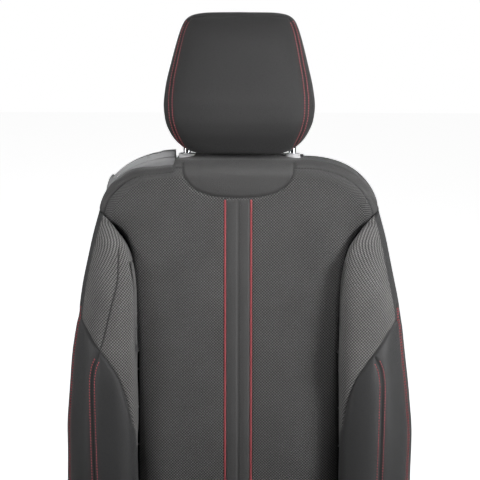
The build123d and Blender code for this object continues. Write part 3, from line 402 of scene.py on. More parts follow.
def mesh_parts(n, uv, pitch, dark, light):
    """Open knitted mesh: threads crossing on the diagonal with a raised dot at each crossing."""
    split = n.node("ShaderNodeSeparateXYZ", {"Vector": uv})
    wobble = n.noise(uv, 60.0, 2.0)
    x = n.math("MULTIPLY", split.outputs[0], 2 * math.pi / pitch)
    y = n.math("MULTIPLY", split.outputs[1], 2 * math.pi / pitch)
    x = n.math("MULTIPLY_ADD", wobble, 1.2, x)
    a = n.math("COSINE", n.math("ADD", x, y))
    b = n.math("COSINE", n.math("SUBTRACT", x, y))
    dots = n.math("MULTIPLY_ADD", n.math("ADD", a, b), 0.25, 0.5)
    dots = n.ramp(dots, 0.25, 0.85)
    thread = n.noise(uv, 2600.0, 1.0)
    patch = n.noise(uv, 14.0, 3.0)
    fleck = n.noise(uv, 420.0, 1.0)
    gain = n.math("MULTIPLY_ADD", patch, 0.5, 0.75)
    gain = n.math("MULTIPLY", gain, n.math("MULTIPLY_ADD", fleck, 0.9, 0.55))
    tone = n.mix(dots, dark, light)
    hue = n.node("ShaderNodeHueSaturation", {"Color": tone, "Value": gain})
    height = n.math("MULTIPLY_ADD", thread, 0.25, dots)
    return hue.outputs[0], n.math("MULTIPLY_ADD", dots, -0.14, 0.86), height


def upholstery(name, pitch, dark, light, tone, dull=0.0, sheen=0.12, gloss=0.38):
    """Mesh where the piece's leather attribute is below 0, smooth leather where it is above."""
    n = Nodes(name)
    uv = n.uv()
    mask = n.node("ShaderNodeAttribute", attribute_name="leather").outputs["Fac"]
    mask = n.ramp(mask, -0.35, 0.35)
    painted_shade = n.node("ShaderNodeAttribute", attribute_name="shade").outputs["Fac"]
    mesh_color, mesh_rough, mesh_height = mesh_parts(n, uv, pitch, dark, light)
    hide_color, hide_rough, hide_height = leather_parts(n, uv, tone)
    color = n.mix(mask, mesh_color, hide_color)
    # Painted shade: where the shade attribute is high the colour is mixed towards near-black, for seam grooves, hollows
    # and the shadow beside the bolsters.
    color = n.mix(painted_shade, color, [0.012, 0.012, 0.013])
    rough = n.math("ADD", n.blend(mask, mesh_rough, hide_rough), dull)
    low = n.bump(mesh_height, 0.0007, n.math("MULTIPLY_ADD", mask, -0.9, 0.9))
    normal = n.bump(hide_height, 0.00022, n.math("MULTIPLY", mask, 0.7), low)
    mat = n.finish(color, rough, normal, Sheen_Weight=sheen, Sheen_Roughness=0.6)
    mat.node_tree.nodes[n.bsdf.name].inputs["Specular IOR Level"].default_value = gloss
    return mat


def plastic(name, tone, rough=0.5, grain=900.0, depth=0.00012, spread=0.1):
    """Moulded plastic with a fine spark-eroded grain."""
    n = Nodes(name)
    xyz = n.coords()
    dots = n.cells(xyz, grain)
    broad = n.noise(xyz, 7.0, 3.0)
    scuff = n.ramp(n.noise(xyz, 42.0, 4.0, 0.7), 0.56, 0.8)
    shade = n.math("MULTIPLY_ADD", broad, 0.3, 0.85)
    color = n.node("ShaderNodeHueSaturation", {"Color": [*tone], "Value": shade}).outputs[0]
    color = n.mix(n.math("MULTIPLY", scuff, 0.12), color, [0.5, 0.5, 0.5])
    roughness = n.math("ADD", n.math("MULTIPLY_ADD", broad, spread, rough), n.math("MULTIPLY", scuff, 0.08))
    return n.finish(color, roughness, n.bump(dots, depth, 0.6))


def metal(name, tone, rough=0.35, metallic=1.0, brushed=None, wear=0.2, coat=0.0):
    """Steel: brushed along one axis, or powder-coated when metallic is 0."""
    n = Nodes(name)
    xyz = n.coords()
    if brushed is not None:
        xyz = n.node("ShaderNodeMapping", {"Vector": xyz, "Scale": brushed}).outputs[0]
    streak = n.noise(xyz, 320.0, 4.0)
    broad = n.noise(n.coords(), 11.0, 4.0)
    rub = n.ramp(n.noise(n.coords(), 38.0, 5.0, 0.7), 0.55, 0.75)
    shade = n.math("MULTIPLY_ADD", broad, 0.35, 0.82)
    color = n.node("ShaderNodeHueSaturation", {"Color": [*tone], "Value": shade}).outputs[0]
    color = n.mix(n.math("MULTIPLY", rub, wear), color, [c * 1.8 + 0.03 for c in tone])
    roughness = n.math("ADD", n.math("MULTIPLY_ADD", streak, 0.22, rough - 0.1), n.math("MULTIPLY", rub, 0.1))
    return n.finish(color, roughness, n.bump(streak, 0.00008, 0.35), metallic, Coat_Weight=coat)


def thread(name, tone):
    n = Nodes(name)
    uv = n.uv()
    split = n.node("ShaderNodeSeparateXYZ", {"Vector": uv})
    twist = n.math("MULTIPLY", split.outputs[1], 9000.0)
    twist = n.math("ADD", twist, n.math("MULTIPLY", split.outputs[0], 5200.0))
    ply = n.math("MULTIPLY_ADD", n.math("SINE", twist), 0.5, 0.5)
    vary = n.noise(uv, 300.0, 2.0)
    shade = n.math("MULTIPLY_ADD", vary, 0.5, 0.75)
    shade = n.math("MULTIPLY", n.math("MULTIPLY_ADD", ply, 0.45, 0.7), shade)
    color = n.node("ShaderNodeHueSaturation", {"Color": [*tone], "Value": shade}).outputs[0]
    rough = n.math("MULTIPLY_ADD", ply, -0.15, 0.62)
    return n.finish(color, rough, n.bump(ply, 0.00012, 0.6), Sheen_Weight=0.2)


FLOOR_GLOW = 0.93  # the floor glows for camera rays only


def floor_paint():
    n = Nodes("studio_floor")
    xyz = n.coords()
    shade = n.noise(xyz, 3.0, 3.0)
    color = n.mix(shade, [0.78, 0.78, 0.78], [0.84, 0.84, 0.84])
    n.bsdf.inputs["Emission Color"].default_value = (1, 1, 1, 1)
    eye = n.node("ShaderNodeLightPath").outputs["Is Camera Ray"]
    n.put(n.bsdf.inputs["Emission Strength"], n.math("MULTIPLY", eye, FLOOR_GLOW))
    return n.finish(color, n.math("MULTIPLY_ADD", shade, 0.1, 0.6))


HIDE = (0.056, 0.055, 0.055)
SIDE_HIDE = (0.036, 0.036, 0.037)
# The head restraint's leather tone is set darker than HIDE so that it reads as less lit than the backrest: partly
# painted shade.
HEAD_HIDE = (0.024, 0.0236, 0.024)
MESH = upholstery("insert_mesh", 0.0046, [0.017, 0.017, 0.018], [0.138, 0.136, 0.134], HIDE)
SIDE_MESH = upholstery("bolster_mesh", 0.0048, [0.040, 0.040, 0.040], [0.245, 0.240, 0.235], SIDE_HIDE)
LEATHER = upholstery(
    "headrest_leather", 0.0046, [0.02, 0.02, 0.02], [0.1, 0.1, 0.1], HEAD_HIDE,
    dull=0.08, sheen=0.10, gloss=0.30,
)
RED = thread("red_thread", (0.46, 0.075, 0.090))
PIPE = thread("red_piping", (0.33, 0.048, 0.058))
DARK = thread("dark_thread", (0.022, 0.022, 0.023))
TRIM = plastic("dark_trim", (0.030, 0.030, 0.032), 0.52)
GREY = plastic("grey_release", (0.34, 0.34, 0.345), 0.42, 1200.0, 0.00007)
BEZEL = plastic("grey_bezel", (0.27, 0.27, 0.275), 0.45, 1200.0, 0.00007)
COLLAR = plastic("collar_grey", (0.55, 0.55, 0.56), 0.35, 1200.0, 0.00005)
INNER = plastic("inner_plastic", (0.12, 0.12, 0.12), 0.6)
RUBBER = plastic("grip_rubber", (0.016, 0.016, 0.016), 0.7, 500.0, 0.0003)
PAINT = metal("frame_paint", (0.020, 0.020, 0.022), 0.42, 0.0, None, 0.10)
STEEL = metal("bare_steel", (0.36, 0.36, 0.37), 0.38)
RAIL = metal("rail_steel", (0.40, 0.41, 0.42), 0.34, 1.0, (40, 1, 40))
ZINC = metal("zinc_bolts", (0.55, 0.54, 0.50), 0.36)
CHROME = metal("post_chrome", (0.62, 0.62, 0.64), 0.16, 1.0, (1, 1, 40), 0.05)
FLOOR = floor_paint()
AMBIENT = 0.03  # world strength on the seat; the camera sees white


# ---- backrest outline, in mm
TOP = 690.0
SHOULDER_DROP = 80.0
NECK = 100.0
CORNER_U = 221.5
CORNER_V = TOP - SHOULDER_DROP
PAD_LOW = 100.0
BOLSTER_LOW = 122.0
SEAM_U = 160.0
ROLL = 27.0
FACE_W = 55.0
REAR_W = -50.0
PIPE_U = 20.6
LINE_TOP = 628.0  # upper end of the centre piping and seam
PIPE_RADIUS = 1.75
PIPE_RISE = 0.0009  # metres the piping stands off the cover
ROLL_START, ROLL_RUN = 588.2, 21.8  # where the bolster's low edge begins to follow the shoulder's roll
SHADE_FADE = (568, 606)  # seam shade ends between these heights
ALL_LEATHER = 4.0  # "leather" attribute well above 0
CUSHION_HALF = 160.0
CUSHION_FRONT_SEAM = 128.0  # along the cushion's path from its lower front edge
BOLSTER_INNER, BOLSTER_OUTER = 162.0, 257.0  # cushion bolsters
ZONE_EDGE = (
    [158, 160, 161.5, 170, 184, 200, 224, 242, 264],
    [120, 228, 262, 308, 347, 372, 402, 426, 452],
)  # top of the bolster's leather zone: u, v


def outline_u(v):
    """Half width of the bolsters' outside."""
    return curve(
        [90, 122, 165, 250, 310, 370, 425, 480, 530, 568, 610],
        [264, 270, 275, 276, 273, 267, 260, 251, 241, 233, CORNER_U],
        v,
    )


def seam_u(v):
    """Half width of the centre panel, along the seam beside the bolster."""
    return curve(
        [90, 300, 450, 490, 520, 550, 577, 594, 610],
        [160, 160, 160.5, 162, 165.5, 174, 191.5, 205, CORNER_U],
        v,
    )


def face_w(u, v):
    """Front of the centre panel, before seams."""
    lumbar = 8.0 * np.exp(-(((v - 235) / 110) ** 2))
    upper = -5.0 * step(v, 420, 660)
    crown = 4.0 * (1 - (np.abs(u) / 175.0) ** 2.4)
    return FACE_W + lumbar + upper + crown


def top_curve(count):
    """The cover's upper edge from corner to corner: points and the direction it rolls in."""
    phi = np.linspace(0, math.pi / 2, 400)
    bend = 2 / (1.66 + 0.46 * np.sin(phi))
    arc = np.stack(
        [NECK + (CORNER_U - NECK) * np.cos(phi) ** bend, CORNER_V + SHOULDER_DROP * np.sin(phi) ** bend], -1
    )
    lean = math.radians(38.1) * np.cos(phi) ** 1.2
    right = np.concatenate([arc, [[0.0, TOP]]])
    lean = np.concatenate([lean, [0.0]])
    data, _ = resample(np.column_stack([right, lean * 40]), (count + 1) // 2)
    data[:, 2] /= 40
    left = data[:-1] * np.array([-1, 1, -1])
    full = np.concatenate([left, data[::-1]])
    return full[:, :2], full[:, 2]


def recess(u):
    """The outboard shoulder is lower where the release lever lies."""
    gap = 10.5 * (1 - step(-u, 126, 184)) + 1.0 + 4.0 * np.clip((-u - 100) / 124, 0, 1)
    return gap * step(-u, 101, 105) * (1 - step(-u, 186, 208))


# ---- centre cover
COLS = 241


def centre_cover():
    top, lean = top_curve(COLS)
    direction = np.stack([np.sin(lean), np.cos(lean)], -1)
    reach = ROLL / np.maximum(np.cos(lean * 0.35), 0.5)
    start = top - direction * reach[:, None]
    share = np.linspace(-1, 1, COLS)
    rows = 300
    t = np.linspace(0, 1, rows)
    low = np.stack([share * SEAM_U, np.full(COLS, PAD_LOW)], -1)
    flat = (1 - t)[:, None, None] * low[None] + t[:, None, None] * start[None]
    edge_v = PAD_LOW + t * (start[-1, 1] - PAD_LOW)
    edge_gap = seam_u(edge_v) - flat[:, -1, 0]
    edge_gap[-1] = 0
    flat[:, :, 0] += edge_gap[:, None] * (np.sign(share) * np.abs(share) ** 3)[None, :]
    u, v = flat[..., 0], flat[..., 1]
    w = face_w(u, v)
    turn = np.radians(np.linspace(4, 90, 22))
    roll_uv = start[None] + (direction * reach[:, None])[None] * np.sin(turn)[:, None, None]
    roll_w = w[-1][None] - ROLL * (1 - np.cos(turn))[:, None]
    behind = np.linspace(0.04, 1, 26)
    end_w = roll_w[-1]
    rear_uv = np.repeat(top[None], len(behind), 0)
    rear_w = end_w[None] + (REAR_W - end_w)[None] * behind[:, None]
    tuck = np.array([0.35, 0.7, 1.0])
    inner_uv = top[None] - direction[None] * (16 * tuck)[:, None, None]
    inner_w = np.repeat(np.full(COLS, REAR_W)[None], 3, 0)
    uv_all = np.concatenate([flat, roll_uv, rear_uv, inner_uv])
    w_all = np.concatenate([w, roll_w, rear_w, inner_w])
    u, v = uv_all[..., 0], uv_all[..., 1]
    band = np.concatenate([np.zeros(rows), np.sin(turn), np.ones(len(behind)), np.ones(3)])
    drop = recess(u) * band[:, None]
    v = v + 5.0 * band[:, None] ** 4 * (1 - step(np.abs(u), 58, 100)) * step(-w_all, -30, 8)
    v = v - drop * np.cos(lean)[None]
    u = u + drop * np.sin(lean)[None] * -1
    arc_w = [np.zeros(rows), ROLL * turn, ROLL * math.pi / 2 + behind * 78, ROLL * 1.57 + 78 + 16 * tuck]
    arc_w = np.concatenate(arc_w)
    return u, v, w_all, arc_w, rows


BIB_HALF, BIB_TOP, BIB_DEEP, BIB_POWER = 88.0, 686.0, 54.5, 2.6


def bib_distance(u, v):
    """Roughly the signed distance in mm to the neck panel's edge; positive is inside the panel."""
    down = np.maximum(BIB_TOP - v, 0) / BIB_DEEP
    reach = ((np.abs(u) / BIB_HALF) ** BIB_POWER + down**BIB_POWER) ** (1 / BIB_POWER)
    return (1 - reach) * 75.0


def bib_line():
    turn = np.linspace(0, math.pi / 2, 90)
    right = np.stack(
        [BIB_HALF * np.sin(turn) ** (2 / BIB_POWER), BIB_TOP - BIB_DEEP * np.cos(turn) ** (2 / BIB_POWER)], -1
    )
    return np.concatenate([right[::-1] * [-1, 1], right[1:]])


def build_centre():
    u, v, w, arc_w, rows = centre_cover()
    grid = back(u, v, w)
    n = facing(grid, (rows // 2, COLS // 2), BACK_FRONT)
    flat = grid.reshape(-1, 3)
    faces = grid_faces(*grid.shape[:2])
    tree = tree_of(flat, faces)
    lines = {}
    vv = np.linspace(PAD_LOW + 2, LINE_TOP, 260)
    for key, at in (("left", -PIPE_U), ("right", PIPE_U), ("middle", 0.0)):
        lines[key] = on_back(tree, np.full_like(vv, at), vv)
    bib, _ = resample(bib_line(), 300)
    lines["bib"] = on_back(tree, bib[:, 0], bib[:, 1])
    band = int(rows + np.argmin(np.abs(np.sin(np.radians(np.linspace(4, 90, 22))) - 0.62)))
    shoulder = grid[band]
    su = u[band]
    lines["shoulder_out"] = (shoulder[su <= -86], None)
    lines["shoulder_in"] = (shoulder[su >= 86], None)
    cut, seam = np.zeros(len(flat)), np.zeros(len(flat))
    for key, depth, width, pull in (
        ("left", 2.0, 2.6, 1.6),
        ("right", 2.0, 2.6, 1.6),
        ("middle", 1.6, 1.5, 1.2),
        ("bib", 2.8, 1.7, 1.8),
        ("shoulder_out", 2.2, 1.6, 1.4),
        ("shoulder_in", 2.2, 1.6, 1.4),
    ):
        line, _ = resample(lines[key][0], 500)
        gap = distance_to(flat, line)
        cut = np.maximum(cut, valley(gap, depth, width, pull, 9.0))
        # Along the bib and shoulder seams the seam mask is painted shade in the seam grooves; it goes into the shade
        # attribute.
        if key in ("bib", "shoulder_out", "shoulder_in"):
            seam = np.maximum(seam, 0.8 * np.exp(-((gap / 1.4) ** 2)))
    edge = np.minimum(np.arange(COLS), np.arange(COLS)[::-1])
    spacing = 2 * SEAM_U / (COLS - 1) * 1.15
    side_gap = np.broadcast_to(edge * spacing, u.shape).ravel()
    fade = 1 - step(v.ravel(), 568, 613)
    near = np.abs(u.ravel()) > 60
    hollow = 14.0 * np.exp(-((side_gap / 9.0) ** 1.25)) + 8.0 * np.exp(-((side_gap / 27.0) ** 1.6))
    cut = cut + hollow * fade
    cut = cut + pucker(flat, side_gap, 3, 0.5, 16.0) * fade + 0.5 * ripple(flat, 0.11, 4) * near
    moved = sunk(flat, n, cut)
    strip = PIPE_U - np.abs(u)
    below = LINE_TOP - v
    leather = np.maximum(bib_distance(u, v), np.minimum(strip, below))
    index = np.arange(grid.shape[0])
    gusset = np.where(index[:, None] > band, 4.0, -4.0) * np.ones_like(u)
    leather = np.maximum(leather, gusset)
    # Painted shade: darker at the panel's edges beside the bolsters, fading out near the top; low is a painted shadow
    # of the bolsters over the panel's lower edges, darker towards the bottom.
    shade = 0.6 * np.exp(-((side_gap / 7.0) ** 2)) * (1 - step(v.ravel(), *SHADE_FADE))
    low = 0.60 * np.exp(-((side_gap / 27.0) ** 2)) * (1 - step(v.ravel(), 240, 430))
    shade = np.maximum(np.maximum(shade, low), seam)
    uv = np.stack([u, v + arc_w[:, None]], -1).reshape(-1, 2) / 1000.0
    obj = make_mesh("backrest_centre_cover", moved, faces, MESH, uv, {"leather": leather, "shade": shade})
    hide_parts("backrest_center_pad")
    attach(obj, "backrest")
    tree = tree_of(moved, faces)
    for key, at in (("outboard", -PIPE_U), ("inboard", PIPE_U)):
        line, _ = on_back(tree, np.full_like(vv, at), vv)
        line = smooth_line(line, 6) + np.array(BACK_FRONT) * PIPE_RISE
        pipe = tube(f"centre_piping_{key}", line, PIPE_RADIUS, PIPE, lift=BACK_FRONT)
        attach(pipe, "backrest")
    points, normals = on_back(tree, np.full_like(vv, 3.4), vv)
    rows_dark = [(points, normals)]
    stitches = stitch_mesh("centre_seam_stitches", rows_dark, DARK, 4.1, 2.9, 0.42)
    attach(stitches, "backrest")
    return tree


# ---- backrest bolsters
def crest_w(v):
    return curve(
        [100, 122, 200, 330, 430, 492, 534, 566, 587, 610],
        [96, 100, 106, 106, 100, 90, 78, 63, 49, 27],
        v,
    )


def bolster_section(v, count):
    """One cross-section from the centre seam over the crest to the rear of the flank: (n, 2) of u, w."""
    inner, outer = float(seam_u(v)), float(outline_u(v))
    high = float(crest_w(v))
    roll = float(step(v, 580, 610))
    turned = min(max((v - ROLL_START) / ROLL_RUN, 0.0), 1.0)
    low = float(face_w(inner, v)) - 12.0 + 8.5 * float(step(v, 558, 598))
    low = low - ROLL * (1 - math.sqrt(1 - turned**2))
    width = outer - inner
    top_u = inner + (0.36 + 0.1 * roll) * width
    side_w = min(26.0, high - 5) * (1 - roll) + (FACE_W - 5 - ROLL) * roll
    high = max(high, low + 3.0)
    a = np.linspace(0, math.pi / 2, 40)
    power = 0.74 + 0.2 * roll
    bulge = 3.0 * (1 - roll) * np.sin(2 * a) ** 2
    rise_u = top_u - (top_u - inner) * np.cos(a) ** power - bulge
    rise = np.stack([rise_u, low + (high - low) * np.sin(a) ** power], -1)
    fall_u = top_u + (outer - top_u) * np.sin(a) ** 0.92
    fall = np.stack([fall_u, side_w + (high - side_w) * np.cos(a) ** 1.04], -1)
    flank = np.stack([outer - 3.0 * np.linspace(0, 1, 12) ** 2, np.linspace(side_w, REAR_W + 3, 12)], -1)
    tuck = np.array([[outer - 5.0, REAR_W + 0.6], [outer - 9.0, REAR_W], [outer - 20.0, REAR_W]])
    shape = np.concatenate([rise, fall[1:], flank[1:], tuck])
    return resample(shape, count)


def bolster_zone(u, v):
    """Signed distance to the edge of the lower leather zone; positive is leather."""
    edge = curve(*ZONE_EDGE, u)
    return (edge - v) * 0.72


def build_bolster(sign, tag):
    cols, rows = 190, 270
    vs = np.linspace(BOLSTER_LOW + 12, CORNER_V + 3.0, rows)
    grid_u, grid_w, lengths = [], [], []
    for v in vs:
        section, far = bolster_section(v, cols)
        grid_u.append(section[:, 0])
        grid_w.append(section[:, 1])
        lengths.append(far)
    u, w = np.array(grid_u), np.array(grid_w)
    v = np.repeat(vs[:, None], cols, 1)
    close = 14
    mid_u, mid_w = u[0].mean(), 20.0
    extra_u, extra_v, extra_w = [], [], []
    for k in range(close, 0, -1):
        t = k / close
        part = min(t * 1.9, 1)
        if t < 0.55:
            shrink = math.sqrt(max(1 - part**2 * 0.16, 0))
        else:
            shrink = 0.916 * (1 - (t - 0.55) / 0.45) + 0.001
        fall = 12 * part
        extra_u.append(mid_u + (u[0] - mid_u) * shrink)
        extra_w.append(mid_w + (w[0] - mid_w) * shrink)
        extra_v.append(np.full(cols, vs[0] - fall))
    u = np.concatenate([extra_u, u])
    v = np.concatenate([extra_v, v])
    w = np.concatenate([extra_w, w])
    grid = back(u * sign, v, w)
    n = facing(grid, (rows // 2, 40), BACK_FRONT)
    flat = grid.reshape(-1, 3)
    faces = grid_faces(*grid.shape[:2], flip=sign < 0)
    tree = tree_of(flat, faces)
    zone_u = np.linspace(163, 262, 220)
    zone_v = curve(*ZONE_EDGE, zone_u)
    zone = on_back(tree, zone_u * sign, zone_v)
    inner_v = np.concatenate([np.linspace(BOLSTER_LOW + 14, 352, 150), np.linspace(353, 386, 24)])
    inner_u = curve([100, 150, 250, 340, 365, 386], [222, 224, 227, 229, 226, 217], inner_v)
    inner = on_back(tree, inner_u * sign, inner_v)
    outer_v = np.linspace(BOLSTER_LOW + 14, 462, 260)
    outer_u = outline_u(outer_v) - curve([120, 300, 400, 462], [6.0, 4.8, 3.8, 3.0], outer_v)
    outer = on_back(tree, outer_u * sign, outer_v)
    crease_v = np.linspace(382, 553, 160)
    crease_u = curve([374, 389, 412, 460, 508, 553], [221, 218, 211, 199, 188, 187], crease_v)
    crease = on_back(tree, crease_u * sign, crease_v)
    cut = np.zeros(len(flat))
    lines = [(zone, 2.6, 1.7, 2.6), (inner, 1.7, 1.6, 2.0), (outer, 1.6, 1.5, 1.4)]
    if sign < 0:
        lines.append((crease, 2.0, 1.6, 2.6))
    closest, seam = np.full(len(flat), 99.0), np.zeros(len(flat))
    for (line, _), depth, width, pull in lines:
        dense, _ = resample(line, 420)
        gap = distance_to(flat, dense)
        closest = np.minimum(closest, gap)
        # Painted shade in the seam grooves.
        seam = np.maximum(seam, 0.75 * np.exp(-((gap / 1.3) ** 2)))
        cut = np.maximum(cut, valley(gap, depth, width, pull, 9.0))
    cut = cut + pucker(flat, closest, 11, 0.3) + 0.7 * ripple(flat, 0.10, 12 + (sign > 0))
    moved = sunk(flat, n, cut)
    leather = bolster_zone(u, v)
    strip = 9.0 - (outline_u(v) - u)
    leather = np.maximum(leather, np.where(w < 60, np.maximum(strip, 30 - w), strip))
    seam = seam.reshape(u.shape)
    arc = np.linspace(0, 1, cols)[None, :] * np.concatenate([np.full(close, lengths[0]), lengths])[:, None]
    uv = np.stack([arc, v], -1).reshape(-1, 2) / 1000.0
    # Painted shade on the inner wall beside the centre seam, fading out near the top, together with the seam grooves'
    # painted shade.
    shade = np.maximum(0.6 * np.exp(-((arc / 8.0) ** 2)) * (1 - step(v, *SHADE_FADE)), seam)
    marks = {"leather": leather, "shade": shade}
    obj = make_mesh(f"backrest_bolster_cover_{tag}", moved, faces, SIDE_MESH, uv, marks)
    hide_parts(f"backrest_bolster_{tag}")
    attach(obj, "backrest")
    tree = tree_of(moved, faces)
    runs = []
    for line, normals in (inner, outer):
        gap = (-4.4, 4.4) if line is inner[0] else (-3.1, 3.1)
        runs += shifted_runs(tree, line, normals, gap)
    stitches = stitch_mesh(f"bolster_stitches_{tag}", runs, RED)
    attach(stitches, "backrest")


# ---- head restraint
HEAD_LOW = 700.0


def head_profile():
    """From the underside's middle to the top's: height, half width, half depth and centre depth."""
    marks = np.array(
        [
            (-2.2, 0.5, 0.3, 2),
            (-1.9, 40, 18, 2),
            (-0.6, 72, 30, 2),
            (5, 86, 38, 3),
            (16, 99, 45, 6),
            (32, 110, 51, 8.5),
            (51, 117.5, 54, 8.5),
            (74, 120, 54, 6.5),
            (98, 117.5, 52, 3),
            (144, 107.5, 46, -3),
            (178, 99, 39, -8),
            (198, 92.5, 32, -12),
            (210, 86, 25, -15),
            (217, 74, 17, -16),
            (220.2, 50, 10, -16),
            (221, 0.5, 0.2, -16),
        ],
        float,
    )
    far = np.concatenate([[0], np.cumsum(np.hypot(np.diff(marks[:, 0]), np.diff(marks[:, 1])))])
    at = np.linspace(0, far[-1], 250)
    cols = [curve(far, marks[:, k], at) for k in range(4)]
    return [smooth_line(c, 12) for c in cols]


def head_seam(v):
    """Half width at the head restraint's front seams."""
    return curve(
        [0, 8, 16, 42, 62, 82, 110, 144, 178, 195, 207, 213],
        [80, 88, 92.5, 103.5, 107.5, 108, 105.8, 100, 93, 88.5, 83, 77],
        v,
    )


def build_headrest():
    height, half, depth, centre = head_profile()
    cols = 300
    turn = np.linspace(0, 2 * math.pi, cols, endpoint=False)
    power = 2 / 3.1
    cu = np.sign(np.cos(turn)) * np.abs(np.cos(turn)) ** power
    cw = np.sign(np.sin(turn)) * np.abs(np.sin(turn)) ** power
    ring, _ = resample(np.column_stack([np.append(cu, cu[0]) * 110, np.append(cw, cw[0]) * 52]), cols + 1)
    cu, cw = ring[:-1, 0] / 110, ring[:-1, 1] / 52
    u = half[:, None] * cu[None]
    w = centre[:, None] + depth[:, None] * cw[None]
    v = HEAD_LOW + np.repeat(height[:, None], cols, 1)
    front = np.clip(cw, 0, 1)[None]
    hollow = 3.0 * np.exp(-(((v - HEAD_LOW - 95) / 60) ** 2)) * (1 - (u / 130) ** 2) * front
    w = w - hollow
    grid = back(u, v, w)
    n = facing(grid, (125, cols // 4), BACK_FRONT, wrap=True)
    flat = grid.reshape(-1, 3)
    faces = grid_faces(len(height), cols, wrap=True)
    tree = tree_of(flat, faces)
    cut, seam = np.zeros(len(flat)), np.zeros(len(flat))
    seams = {}
    hv = np.linspace(6, 211, 240)
    for sign, tag in ((-1, "out"), (1, "in")):
        line, normals = on_back(tree, sign * head_seam(hv), HEAD_LOW + hv)
        line = smooth_line(line, 4)
        seams[tag] = (line, normals)
        dense, _ = resample(line, 500)
        gap = distance_to(flat, dense)
        # Painted shade in the seam grooves; it becomes the head cover's shade attribute.
        seam = np.maximum(seam, 0.8 * np.exp(-((gap / 1.3) ** 2)))
        cut = np.maximum(cut, valley(gap, 1.8, 1.5, 1.5, 9.0))
    top_u = np.linspace(-76, 76, 120)
    top_v = HEAD_LOW + 214.5 - 1.5 * (top_u / 76) ** 4
    across, _ = on_back(tree, top_u, top_v)
    dense, _ = resample(across, 300)
    cut = np.maximum(cut, valley(distance_to(flat, dense), 0.9, 1.4, 0.8, 7.0))
    cut = cut + 0.45 * ripple(flat, 0.09, 21)
    moved = sunk(flat, n, cut)
    around = np.arange(cols) / cols * 2 * (120 + 55) * 1.85
    upward = np.linspace(0, 330, len(height))
    uv = np.stack(np.broadcast_arrays(around[None], upward[:, None]), -1)
    obj = make_mesh(
        "headrest_cover",
        moved,
        faces,
        LEATHER,
        uv.reshape(-1, 2) / 1000.0,
        {"leather": np.full(u.size, ALL_LEATHER), "shade": seam},
    )
    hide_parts("headrest_pad")
    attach(obj, "head_restraint")
    tree = tree_of(moved, faces)
    runs = []
    for line, normals in seams.values():
        runs += shifted_runs(tree, line, normals, (-3.8, 3.8))
    stitches = stitch_mesh("headrest_stitches", runs, RED, 4.0, 3.1, 0.70)
    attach(stitches, "head_restraint")


# ---- release bezel
def build_bezel():
    """The grey strip let into the outboard shoulder, under the release lever."""
    u = np.linspace(-103.5, -218.5, 140)
    cos = (np.abs(u) - NECK) / 119.0
    sin = np.sqrt(np.maximum(1 - cos**2, 0))
    v = CORNER_V + SHOULDER_DROP * sin
    out = np.stack([-cos / 119.0, sin / SHOULDER_DROP], -1)
    out /= np.linalg.norm(out, axis=1, keepdims=True)
    deep = 11.5 * (1 - step(np.abs(u), 126, 184)) + 2.0
    # Past the housing's end the strip rises, to carry its line down to the shoulder's corner.
    high = 0.3 + 8.6 * step(np.abs(u), 199.6, 200.2) * (1 - step(np.abs(u), 200.2, 218.5))
    section = [(-1, -47), (0, -47), (0, -16), (0.06, -13.6), (0.2, -12.4), (0.5, -11.6), (-1, -11.0)]
    rings = []
    for share, w in section:
        offset = -deep if share < 0 else high - share * deep
        rings.append(back(u + out[:, 0] * offset, v + out[:, 1] * offset, np.full_like(u, float(w))))
    grid = np.stack(rings, 1)
    count, sides = grid.shape[:2]
    faces = [tuple(f) for f in grid_faces(count, sides, wrap=True)]
    faces += [tuple(range(sides))[::-1], tuple((count - 1) * sides + k for k in range(sides))]
    obj = make_mesh("release_bezel", grid.reshape(-1, 3), faces, BEZEL, smooth=False)
    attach(obj, "backrest")


# ---- seat cushion
def cushion_path(points, count):
    """A rounded path in (y, z) through given points, spaced evenly."""
    points = np.array(points, float)
    for _ in range(4):
        cut = np.empty((2 * len(points) - 2, 2))
        cut[0::2] = 0.75 * points[:-1] + 0.25 * points[1:]
        cut[1::2] = 0.25 * points[:-1] + 0.75 * points[1:]
        points = np.concatenate([points[:1], cut, points[-1:]])
    return resample(points, count)


def path_normals(path):
    t = np.gradient(path, axis=0)
    t /= np.linalg.norm(t, axis=1, keepdims=True)
    return np.stack([-t[:, 1], t[:, 0]], -1)


